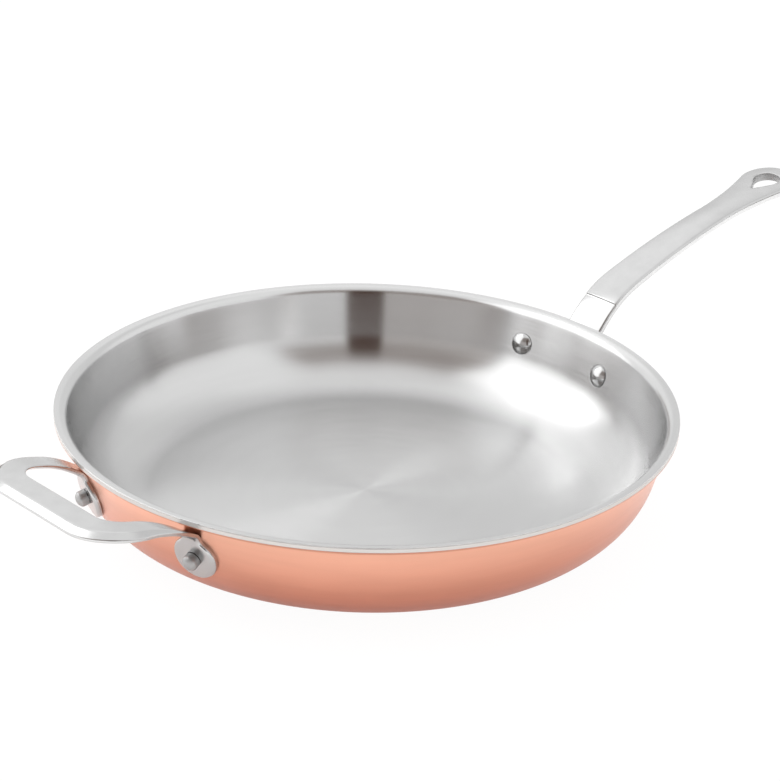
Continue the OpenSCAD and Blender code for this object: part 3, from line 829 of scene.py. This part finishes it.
def rivet_profile(sec, sizes, plate_t, gap):
    """Half section of a rivet along its axis, from the top of the inner head to the top of
    the outer one. Its zero is the cooking face, and the inner head's rim lies the gap inside
    it, so that the head meets the round wall all round. The rims are small arcs, and the
    outer head's shoulder is a parabola."""
    inner_r, shank, outer_r = sizes.inner_head_d / 2, sizes.rivet_d / 2, sizes.outer_head_d / 2
    rim_soft, rim_in, foot_soft, shoulder_h, pull = (mm * MM for mm in (0.2, 0.28, 0.15, 1.2, 1.1))
    inner = cap_line(sizes.inner_head_d, sizes.inner_head_h, n=22, base=-gap, way=-1)[::-1]
    # The last tenth of the dome draws in by up to 2 percent, to run into the rim.
    inner[:, 0] *= 1 - 0.02 * np.clip((inner[:, 0] / inner_r - 0.9) / 0.1, 0, 1)
    rim = arc((inner_r - rim_in, -gap - rim_soft), rim_soft, -30, 90, 6)
    outside = sec.t + plate_t
    base = np.array([[shank, -gap], [shank, outside]])
    foot = arc((outer_r - foot_soft, outside + foot_soft), foot_soft, -90, 0, 4)
    side_top = outside + sizes.outer_side_h
    side = np.array([[outer_r, side_top - shoulder_h]])
    crown = cap_line(sizes.outer_head_d, sizes.outer_crown_h, n=20, base=side_top, way=1)
    # The shoulder takes the place of the crown's first points.
    taken, steps = 6, 8
    ends = [side[0], crown[0], crown[taken], [0, side_top]]
    shoulder = rounded_pair(ends, pull, steps)[:steps]
    return np.concatenate([inner[:-1], rim, base, foot, side, shoulder, crown[taken + 1 :]])


def place_turned(sec, turn, up_at, parts):
    """Sets a turned part with its axis through the wall: across the wall, up it and out."""
    points, quads, tris = parts
    origin = on_wall(sec, turn, up_at, 0.0)
    radial = np.array([math.cos(turn), math.sin(turn), 0])
    out = radial * sec.out[0] + np.array([0, 0, sec.out[1]])
    side = np.array([-math.sin(turn), math.cos(turn), 0])
    up = np.cross(out, side)
    return origin + points[:, :1] * side + points[:, 1:2] * up + points[:, 2:] * out, quads, tris


class PAN_OT_rivets(bpy.types.Operator):
    """Builds the four rivets, each with a domed head inside and a stub head outside"""

    bl_idname = "pan.rivets"
    bl_label = "Rivets"

    def execute(self, context):
        scene = context.scene
        sec, sizes = wall_section(scene.pan_sheet), scene.pan_rivets
        long, helper = scene.pan_long_handle, scene.pan_helper_handle
        turn, half = handle_rivet_turn(sec, long), helper.rivet_angle / 2
        rows = (
            ("handle_rivet_left", turn, long.rivet_drop, long.flange_t),
            ("handle_rivet_right", -turn, long.rivet_drop, long.flange_t),
            ("helper_rivet_left", math.pi - half, helper.rivet_drop, helper.loop_t),
            ("helper_rivet_right", math.pi + half, helper.rivet_drop, helper.loop_t),
        )
        finishes = scene.pan_finish
        finish = rivet_metal(finishes, "tumbled_rivet_stainless", shade=1.0, rough=0.14)
        # The outer stubs are rougher, and their colour is darkened to 0.82: painted shade.
        stub = rivet_metal(finishes, "pressed_rivet_stainless_shaded", shade=0.82, rough=0.42)
        for node, at, drop, plate_t in rows:
            up_at, head_r = rivet_up(sec, drop), sizes.inner_head_d / 2
            # How far the wall, and the bend below it, curve away under a head's flat rim.
            wall_r = sec.foot[0] + up_at * sec.up[0]
            below = max(0, head_r - up_at)
            gap = max(head_r**2 / (2 * (wall_r - head_r)), below**2 / (2 * (sec.bend_r - below)))
            parts = turned(rivet_profile(sec, sizes, plate_t, gap), turns=64)
            piece = put_mesh(node + "_body", *place_turned(sec, at, up_at, parts), sharp=50)
            dress(piece, finish, node)
            points, *corners = parts
            height = np.concatenate([points[faces, 2].mean(1) for faces in corners])
            second_metal(piece, stub, height > sec.t + plate_t)
        return {"FINISHED"}


# Metals


def dress(piece, finish, node):
    """Gives the piece its finish, and lets it ride on the pan and stand for its CAD node."""
    piece.data.materials.clear()
    piece.data.materials.append(finish)
    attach(piece, "root")
    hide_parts(node)


def second_metal(piece, metal, faces):
    """Puts another metal on the faces for which the array holds."""
    piece.data.materials.append(metal)
    piece.data.polygons.foreach_set("material_index", faces.astype(np.int32))


def empty_tree(owner):
    """The node tree of a new material or world, without the nodes it starts with."""
    owner.use_nodes = True
    owner.node_tree.nodes.clear()
    return owner.node_tree


def new_metal(name):
    """A new material of that name, its node tree and its metallic Principled shader, which
    keeps the default IOR. A material that is already there comes without the other two."""
    old = bpy.data.materials.get(name)
    if old is not None:
        return old, None, None
    material = bpy.data.materials.new(name)
    tree = empty_tree(material)
    metal = add_node(tree, "ShaderNodeBsdfPrincipled", values={"Metallic": 1.0})
    add_node(tree, "ShaderNodeOutputMaterial", {"Surface": metal.outputs["BSDF"]})
    return material, tree, metal


def ring_noise(tree, pitch, round_scale, detail):
    """Noise that runs in rings round the Z axis, as lathe brushing does. It is a noise of
    (x / r, y / r) times round_scale, and of r + z over the pitch. Gives the noise's value."""
    where = add_node(tree, "ShaderNodeTexCoord").outputs["Object"]
    flat = add_node(
        tree, "ShaderNodeVectorMath", {0: where}, {1: (1, 1, 0)}, operation="MULTIPLY"
    ).outputs[0]
    r = add_node(tree, "ShaderNodeVectorMath", {0: flat}, operation="LENGTH").outputs["Value"]
    way = add_node(tree, "ShaderNodeVectorMath", {0: flat}, operation="NORMALIZE").outputs[0]
    slow = add_node(
        tree, "ShaderNodeVectorMath", {0: way}, {1: (round_scale,) * 3}, operation="MULTIPLY"
    ).outputs[0]
    z = add_node(tree, "ShaderNodeSeparateXYZ", {0: where}).outputs["Z"]
    run = add_node(tree, "ShaderNodeMath", {0: r, 1: z}, operation="ADD").outputs[0]
    fine = add_node(
        tree, "ShaderNodeMath", {0: run}, {1: 1 / pitch}, operation="MULTIPLY"
    ).outputs[0]
    along = add_node(tree, "ShaderNodeCombineXYZ", {"Z": fine}).outputs[0]
    spot = add_node(tree, "ShaderNodeVectorMath", {0: slow, 1: along}, operation="ADD").outputs[0]
    return add_node(
        tree, "ShaderNodeTexNoise", {"Vector": spot},
        {"Scale": 1.0, "Detail": detail, "Roughness": 0.6},
    ).outputs["Fac"]


def spread(tree, value, low, high):
    """Stretches a noise value over low to high, from 0.3 to 0.7, between which most of a
    noise lies."""
    return add_node(
        tree, "ShaderNodeMapRange", {"Value": value},
        {"From Min": 0.3, "From Max": 0.7, "To Min": low, "To Max": high},
    ).outputs["Result"]


def tinted(tree, value, code, dark, light):
    """The colour times a value between dark and light, driven by a noise value."""
    level = spread(tree, value, dark, light)
    shade = linear(code)[:3]
    return add_node(
        tree, "ShaderNodeVectorMath", {0: level}, {1: shade}, operation="MULTIPLY"
    ).outputs[0]


def brushed_round(tree, metal, amount):
    """Stretches the metal's reflections across brush lines that run round the Z axis."""
    metal.inputs["Anisotropic"].default_value = amount
    metal.inputs["Anisotropic Rotation"].default_value = 0.25
    tangent = add_node(tree, "ShaderNodeTangent", direction_type="RADIAL", axis="Z")
    tree.links.new(tangent.outputs[0], metal.inputs["Tangent"])


def uneven(tree, metal, noise, strength, depth):
    """Bump of a noise's hills, whose height is the depth."""
    bump = add_node(
        tree, "ShaderNodeBump", {"Height": noise}, {"Strength": strength, "Distance": depth}
    )
    tree.links.new(bump.outputs[0], metal.inputs["Normal"])


def brushed_stainless(finish):
    """Stainless steel sheet of grade 304, polished and then brushed round the pan on a
    lathe. The rings stretch each reflection towards and away from the centre, so the floor
    shows a bow-tie of light and the wall soft bright and dark bands."""
    material, tree, metal = new_metal("brushed_stainless_304")
    if tree is None:
        return material
    # Real brushing has about 8 lines to the millimetre. At 2 pixels to the millimetre those
    # can't show, so the lines are drawn 0.9 mm apart.
    fine = ring_noise(tree, pitch=0.9 * MM, round_scale=3.0, detail=2.0)
    broad = ring_noise(tree, pitch=9 * MM, round_scale=1.2, detail=3.0)
    lines = add_node(tree, "ShaderNodeMix", {2: broad, 3: fine}, {0: 0.45}).outputs[0]
    tint = tinted(tree, lines, finish.lining, 0.975, 1.02)
    tree.links.new(tint, metal.inputs["Base Color"])
    # The cooking face is brushed coarser than the wall, and the two meet in the bend.
    where = add_node(tree, "ShaderNodeTexCoord").outputs["Object"]
    z = add_node(tree, "ShaderNodeSeparateXYZ", {0: where}).outputs["Z"]
    vary = 0.015
    floor, wall = (
        spread(tree, fine, rough - vary, rough + vary)
        for rough in (finish.floor_rough, finish.wall_rough)
    )
    grade = add_node(
        tree, "ShaderNodeMapRange", {"Value": z, "To Min": floor, "To Max": wall},
        {"From Min": 4 * MM, "From Max": 22 * MM},
    ).outputs["Result"]
    tree.links.new(grade, metal.inputs["Roughness"])
    brushed_round(tree, metal, 1.0)
    return material


def cut_aluminium(finish):
    """Bonded aluminium, seen only where the lip was trimmed on a lathe and lightly polished:
    pale grey, soft, with lines round the rim."""
    material, tree, metal = new_metal("trimmed_aluminium_edge")
    if tree is None:
        return material
    # Lathe lines about 0.1 mm apart, drawn 0.5 mm apart so that they show.
    lines = ring_noise(tree, pitch=0.5 * MM, round_scale=6.0, detail=2.0)
    tree.links.new(tinted(tree, lines, finish.core, 0.93, 1.02), metal.inputs["Base Color"])
    tree.links.new(spread(tree, lines, 0.3, 0.42), metal.inputs["Roughness"])
    return material


def brushed_copper(finish):
    """Copper sheet, spun and satin brushed round the pan: warm pink orange, with fine level
    lines and slow changes of tint where the brush and the air have worked on it. Its colour is
    darker towards the base and in a thin band right under the lip, which is painted shade."""
    material, tree, metal = new_metal("brushed_copper")
    if tree is None:
        return material
    # Brush lines about 0.15 mm apart, drawn 1 mm apart so that they show.
    fine = ring_noise(tree, pitch=1.0 * MM, round_scale=4.0, detail=2.5)
    broad = ring_noise(tree, pitch=14 * MM, round_scale=2.0, detail=2.0)
    where = add_node(tree, "ShaderNodeTexCoord").outputs["Object"]
    z = add_node(tree, "ShaderNodeSeparateXYZ", {0: where}).outputs["Z"]
    # The colour grows darker towards the base: painted shade of the shadowed table that the low
    # wall reflects.
    high = add_node(
        tree, "ShaderNodeMapRange", {"Value": z}, {"From Min": 4 * MM, "From Max": 48 * MM}
    ).outputs["Result"]
    low_painted_shade_tint, top_tint = (
        tinted(tree, broad, code, 0.95, 1.04) for code in (finish.copper_painted_shade, finish.copper)
    )
    side = add_node(
        tree, "ShaderNodeMix", {"Factor": high, 6: low_painted_shade_tint, 7: top_tint}, data_type="RGBA"
    ).outputs[2]
    # Right under the lip the copper is drawn darker: a painted shadow of the lip.
    lip_shadow_share = add_node(
        tree, "ShaderNodeMapRange", {"Value": z},
        {"From Min": 48.8 * MM, "From Max": 49.6 * MM, "To Max": 0.55},
    ).outputs["Result"]
    painted_lip_shadow = tinted(tree, broad, finish.copper_painted_shade, 0.78, 0.84)
    tint = add_node(
        tree, "ShaderNodeMix", {"Factor": lip_shadow_share, 6: side, 7: painted_lip_shadow}, data_type="RGBA"
    ).outputs[2]
    tree.links.new(tint, metal.inputs["Base Color"])
    rough = finish.copper_rough
    tree.links.new(spread(tree, fine, rough - 0.04, rough + 0.05), metal.inputs["Roughness"])
    # A thin clear lacquer keeps the copper bright and pales it where it is seen at a slant.
    metal.inputs["Coat Weight"].default_value = 0.6
    metal.inputs["Coat Roughness"].default_value = 0.3
    brushed_round(tree, metal, 0.55)
    return material


def polished_casting(finish):
    """Investment cast stainless steel, ground and polished by hand: near mirror, with a
    faint waviness from the wheel and soft fine scratches."""
    material, tree, metal = new_metal("polished_cast_stainless")
    if tree is None:
        return material
    where = add_node(tree, "ShaderNodeTexCoord").outputs["Object"]
    # The wheel leaves waves 8 mm long. Its scratches, 0.05 mm wide, are drawn 0.6 mm wide.
    waves = add_node(
        tree, "ShaderNodeTexNoise", {"Vector": where}, {"Scale": 1 / (8 * MM), "Detail": 1.0}
    ).outputs["Fac"]
    scratch = add_node(
        tree, "ShaderNodeTexNoise", {"Vector": where}, {"Scale": 1 / (0.6 * MM), "Detail": 3.0}
    ).outputs["Fac"]
    tree.links.new(tinted(tree, waves, finish.handle, 0.97, 1.02), metal.inputs["Base Color"])
    rough = finish.handle_rough
    tree.links.new(spread(tree, scratch, rough - 0.03, rough + 0.04), metal.inputs["Roughness"])
    uneven(tree, metal, waves, strength=0.25, depth=0.05 * MM)
    return material


def rivet_metal(finish, name, shade, rough):
    """Stainless steel with a finely dimpled skin, as on rivet wire. Heads that were tumbled
    are bright. Those that were only pressed are rougher, and so is the inside of the cast
    hanging hole, which no wheel reaches. A shade below 1 darkens the colour of those two,
    which is painted shade."""
    material, tree, metal = new_metal(name)
    if tree is None:
        return material
    where = add_node(tree, "ShaderNodeTexCoord").outputs["Object"]
    # Dimples about 0.8 mm wide.
    dimples = add_node(
        tree, "ShaderNodeTexNoise", {"Vector": where}, {"Scale": 1 / (0.8 * MM), "Detail": 2.0}
    ).outputs["Fac"]
    skin = tinted(tree, dimples, finish.rivet, 0.95 * shade, 1.02 * shade)
    tree.links.new(skin, metal.inputs["Base Color"])
    tree.links.new(spread(tree, dimples, rough, rough + 0.1), metal.inputs["Roughness"])
    uneven(tree, metal, dimples, strength=0.2, depth=0.02 * MM)
    return material


# The stage


def ray_kinds(tree):
    """1 for camera rays, and 1 for rays that show the background in metal or through glass."""
    path = add_node(tree, "ShaderNodeLightPath").outputs
    mirror = add_node(
        tree, "ShaderNodeMath", {0: path["Is Glossy Ray"], 1: path["Is Transmission Ray"]},
        operation="MAXIMUM",
    ).outputs[0]
    return path["Is Camera Ray"], mirror


def stage_mesh(name, rings, pole):
    """A mesh through a row of closed rings, an array of rings by points by 3, with triangles
    from the last ring to the pole."""
    rows, around = rings.shape[:2]
    last = (rows - 1) * around + np.arange(around)
    tris = np.stack([last, np.roll(last, -1), np.full(around, rows * around)], -1)
    points = np.concatenate([rings.reshape(-1, 3), [pole]])
    mesh = bpy.data.meshes.new(name)
    mesh.from_pydata(points.tolist(), [], ring_quads(rows, around).tolist() + tris.tolist())
    return mesh


def studio_world(scene):
    """White surroundings for camera, mirror and glass rays, and a plain level of light."""
    scene.world = bpy.data.worlds.new("studio")
    tree = empty_tree(scene.world)
    camera, mirror = ray_kinds(tree)
    seen = add_node(tree, "ShaderNodeMath", {0: camera, 1: mirror}, operation="MAXIMUM").outputs[0]
    level = add_node(
        tree, "ShaderNodeMapRange", {"Value": seen}, {"To Min": 0.8, "To Max": 1.0}
    ).outputs["Result"]
    back = add_node(tree, "ShaderNodeBackground", {"Strength": level}, {"Color": WHITE})
    add_node(tree, "ShaderNodeOutputWorld", {"Surface": back.outputs[0]})


def white_table():
    """Matt white paint. The camera sees it white with a faint shadow. Metal shows less of it
    up to 0.6 m from the middle and more past 0.8 m, brighter from 0.3 m on and then dark, as
    the edge of a table is."""
    material = bpy.data.materials.new("white_table")
    tree = empty_tree(material)
    matt = add_node(tree, "ShaderNodeBsdfDiffuse", values={"Color": (0.95, 0.95, 0.95, 1)})
    where = add_node(tree, "ShaderNodeTexCoord").outputs["Object"]
    r = add_node(tree, "ShaderNodeVectorMath", {0: where}, operation="LENGTH").outputs["Value"]
    # Each ramp has its start and end in metres from the middle, and its values there.
    lit, dark, share_seen = (
        add_node(
            tree, "ShaderNodeMapRange", {"Value": r},
            {"From Min": start, "From Max": end, "To Min": near, "To Max": far},
        ).outputs["Result"]
        for start, end, near, far in (
            (0.24, 0.38, 2.4, 6.5),
            (0.6, 0.8, 1.0, 0.03),
            (0.6, 0.8, 0.13, 0.85),
        )
    )
    camera, mirror = ray_kinds(tree)
    mirrored = add_node(tree, "ShaderNodeMath", {0: lit, 1: dark}, operation="MULTIPLY").outputs[0]
    level = add_node(
        tree, "ShaderNodeMapRange", {"Value": camera, "To Min": mirrored}, {"To Max": 1.03}
    ).outputs["Result"]
    glow = add_node(tree, "ShaderNodeEmission", {"Strength": level}, {"Color": WHITE})
    metal_share = add_node(
        tree, "ShaderNodeMath", {0: mirror, 1: share_seen}, operation="MULTIPLY"
    ).outputs[0]
    part = add_node(
        tree, "ShaderNodeMath", {0: camera, 2: metal_share}, {1: 0.93}, operation="MULTIPLY_ADD"
    ).outputs[0]
    both = add_node(tree, "ShaderNodeMixShader", {0: part, 1: matt.outputs[0], 2: glow.outputs[0]})
    add_node(tree, "ShaderNodeOutputMaterial", {"Surface": both.outputs[0]})
    return material


def studio_floor():
    """A white table top. It is a disc of rings, r times (cos a, sin a), wide enough to pass
    behind everything, just below the pan."""
    turns, below = 96, -0.2 * MM
    a = np.arange(turns) * 2 * np.pi / turns
    r = np.array([9, 3, 1, 0.3, 0.02])[:, None]
    rings = np.stack([r * np.cos(a), r * np.sin(a), np.full((len(r), turns), below)], -1)
    floor = add_object("table_top", stage_mesh("table_top", rings, [0, 0, below]))
    floor.data.materials.append(white_table())


def from_view(look, x, y, z):
    """A place given as right of the view, away from it and up, turned into the pan's
    frame."""
    c, s = math.cos(look.heading), math.sin(look.heading)
    return np.stack([c * x + s * y, -s * x + c * y, z])


# Brightness of the bare light tent
TENT_LEVEL = 1.3
# The tent's cloths, from the first laid to the last: azimuth of the middle, half width,
# softness of the sides, lower and upper elevation, softness of those edges, and brightness.
# Azimuth runs counter-clockwise from the view's right hand. All angles are in degrees.
TENT_CLOTHS = {
    "ceiling": (0, 200, 1, 64, 100, 14, 1.3),
    "right_low_cloth": (-8, 34, 14, 0, 16, 8, 1.5),
    "back_cloth": (67, 30, 16, -20, 60, 10, 1.05),
    "back_left_cloth": (116, 36, 12, 33, 66, 8, 1.5),
    "dim_front_left": (-121, 27, 8, -20, 62, 12, 0.7),
    "dim_front_right": (-66, 22, 18, -20, 62, 12, 1.1),
    "dark_hood": (-97, 50, 14, 30, 66, 9, 0.36),
    "left_softbox": (178, 31, 7, 2, 65, 6, 2.1),
    "left_softbox_core": (158, 8, 4, 24, 58, 8, 5.0),
    "dark_low_front_right": (-34, 24, 10, -30, 8, 2, 0.0),
    "dark_low_front_left": (-150, 14, 8, -30, 8, 3, 0.0),
    "dark_low_left": (-168, 14, 6, -30, 4, 3, 0.0),
    "dark_low_back_left": (112, 14, 8, -30, 8, 4, 0.1),
    "gap_at_the_camera": (-87.5, 7.8, 2, -30, 54, 6, 0.0),
}


def soft_band(x, low, high, soft):
    """1 between low and high and 0 outside, with edges that follow t^2 (3 - 2t) over the
    softness, centred on low and high."""
    t = np.clip(np.stack([x - low, high - x]) / soft + 0.5, 0, 1)
    return np.prod(t * t * (3 - 2 * t), 0)


def tent_glow(az, el):
    """Brightness of the tent in a direction, as red, green and blue. Each cloth in turn is
    laid over the tent's own level as old + (cloth - old) times the product of its two soft
    bands. Where the level is below 1 by d, the light is a little warm: times 1 + d (0.18, 0,
    -0.1), plus d^4 (0.06, 0.015, 0)."""
    level = np.full(az.shape, TENT_LEVEL)
    for middle, half, side_soft, low, high, edge_soft, glow in TENT_CLOTHS.values():
        off = (az - middle + 180) % 360 - 180
        mask = soft_band(off, -half, half, side_soft) * soft_band(el, low, high, edge_soft)
        level = level + (glow - level) * mask
    dim = np.clip(1 - level, 0, 1)[..., None]
    warm = 1 + dim * [0.18, 0.0, -0.1]
    return level[..., None] * warm + dim**4 * [0.06, 0.015, 0.0]


def light_tent(look):
    """A dome of soft light round the pan. A point is 3 m times (cos az cos el, sin az cos el,
    sin el), and its brightness is stored on the mesh. Only reflections and soft light see it:
    it hides nothing from the camera."""
    radius, low, top, rows = 3.0, -1, 89.5, 92
    az, el = np.meshgrid(np.arange(0, 360, 1.0), np.linspace(low, top, rows))
    a, e = np.radians(az), np.radians(el)
    way = from_view(look, np.cos(a) * np.cos(e), np.sin(a) * np.cos(e), np.sin(e))
    mesh = stage_mesh("light_tent", radius * np.moveaxis(way, 0, -1), [0, 0, radius])
    at_pole = tent_glow(np.array([0.0]), np.array([90.0]))
    glow = np.concatenate([tent_glow(az, el).reshape(-1, 3), at_pole])
    store = mesh.attributes.new("glow", "FLOAT_VECTOR", "POINT")
    store.data.foreach_set("vector", glow.astype(np.float32).ravel())
    material = bpy.data.materials.new("lit_tent_cloth")
    material.cycles.emission_sampling = "NONE"
    tree = empty_tree(material)
    level = add_node(tree, "ShaderNodeAttribute", attribute_name="glow").outputs["Vector"]
    shine = add_node(tree, "ShaderNodeEmission", {"Color": level}, {"Strength": 1.0})
    add_node(tree, "ShaderNodeOutputMaterial", {"Surface": shine.outputs[0]})
    mesh.materials.append(material)
    tent = add_object("light_tent", mesh)
    tent.visible_camera = False
    tent.visible_shadow = False


def photo_camera(scene, look):
    """A camera that looks at the rim's centre from the photograph's side: back is the
    direction to it, and it is shifted sideways and upwards in its own plane and then
    rolled."""
    sensor_mm, picture_px = 36, 781
    e, h = look.elevation, look.heading
    back = np.array([-math.sin(h) * math.cos(e), -math.cos(h) * math.cos(e), math.sin(e)])
    right = np.array([math.cos(h), -math.sin(h), 0])
    up = np.cross(back, right)
    place = back * look.distance + right * look.aside + up * look.above
    place[2] += scene.pan_sheet.pan_h
    c, s = math.cos(look.roll), math.sin(look.roll)
    data = bpy.data.cameras.new("photo_camera")
    data.lens = look.focal_px * sensor_mm / picture_px
    data.sensor_width = sensor_mm
    data.clip_start, data.clip_end = 0.01, 50
    camera = add_object("photo_camera", data)
    camera.location = place
    camera.rotation_mode = "QUATERNION"
    axes = np.stack([c * right + s * up, c * up - s * right, back], 1)
    camera.rotation_quaternion = Matrix(axes.tolist()).to_quaternion()
    scene.camera = camera


class PAN_OT_stage(bpy.types.Operator):
    """Sets the white table, the light tent and the camera"""

    bl_idname = "pan.stage"
    bl_label = "Stage"

    def execute(self, context):
        scene, look = context.scene, context.scene.pan_stage
        scene.view_settings.view_transform = "Standard"
        studio_world(scene)
        studio_floor()
        light_tent(look)
        photo_camera(scene, look)
        return {"FINISHED"}


class PAN_PT_panel(bpy.types.Panel):
    """Buttons for each step and the sizes they use"""

    bl_idname = "PAN_PT_panel"
    bl_label = "Frying pan"
    bl_space_type = "VIEW_3D"
    bl_region_type = "UI"
    bl_category = "Frying pan"

    def draw(self, context):
        for step in STEPS:
            self.layout.operator(step.bl_idname)
        for name, group in GROUPS.items():
            box = self.layout.box()
            for field in group.__annotations__:
                box.prop(getattr(context.scene, name), field)


STEPS = (PAN_OT_bowl, PAN_OT_long_handle, PAN_OT_helper_handle, PAN_OT_rivets, PAN_OT_stage)
GROUPS = {
    "pan_sheet": SheetSizes,
    "pan_rivets": RivetSizes,
    "pan_long_handle": LongHandleSizes,
    "pan_helper_handle": HelperHandleSizes,
    "pan_finish": Finishes,
    "pan_stage": StageLook,
}


def register():
    """Registers the groups, the operators and the panel."""
    for name, group in GROUPS.items():
        bpy.utils.register_class(group)
        setattr(bpy.types.Scene, name, bpy.props.PointerProperty(type=group))
    for item in (*STEPS, PAN_PT_panel):
        bpy.utils.register_class(item)


def unregister():
    """Takes them away again."""
    for item in (*STEPS, PAN_PT_panel):
        bpy.utils.unregister_class(item)
    for name, group in GROUPS.items():
        delattr(bpy.types.Scene, name)
        bpy.utils.unregister_class(group)


def main():
    """Builds every piece and the stage."""
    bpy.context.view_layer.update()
    register()
    bpy.ops.pan.bowl()
    bpy.ops.pan.long_handle()
    bpy.ops.pan.helper_handle()
    bpy.ops.pan.rivets()
    bpy.ops.pan.stage()


if __name__ == "__main__":
    main()
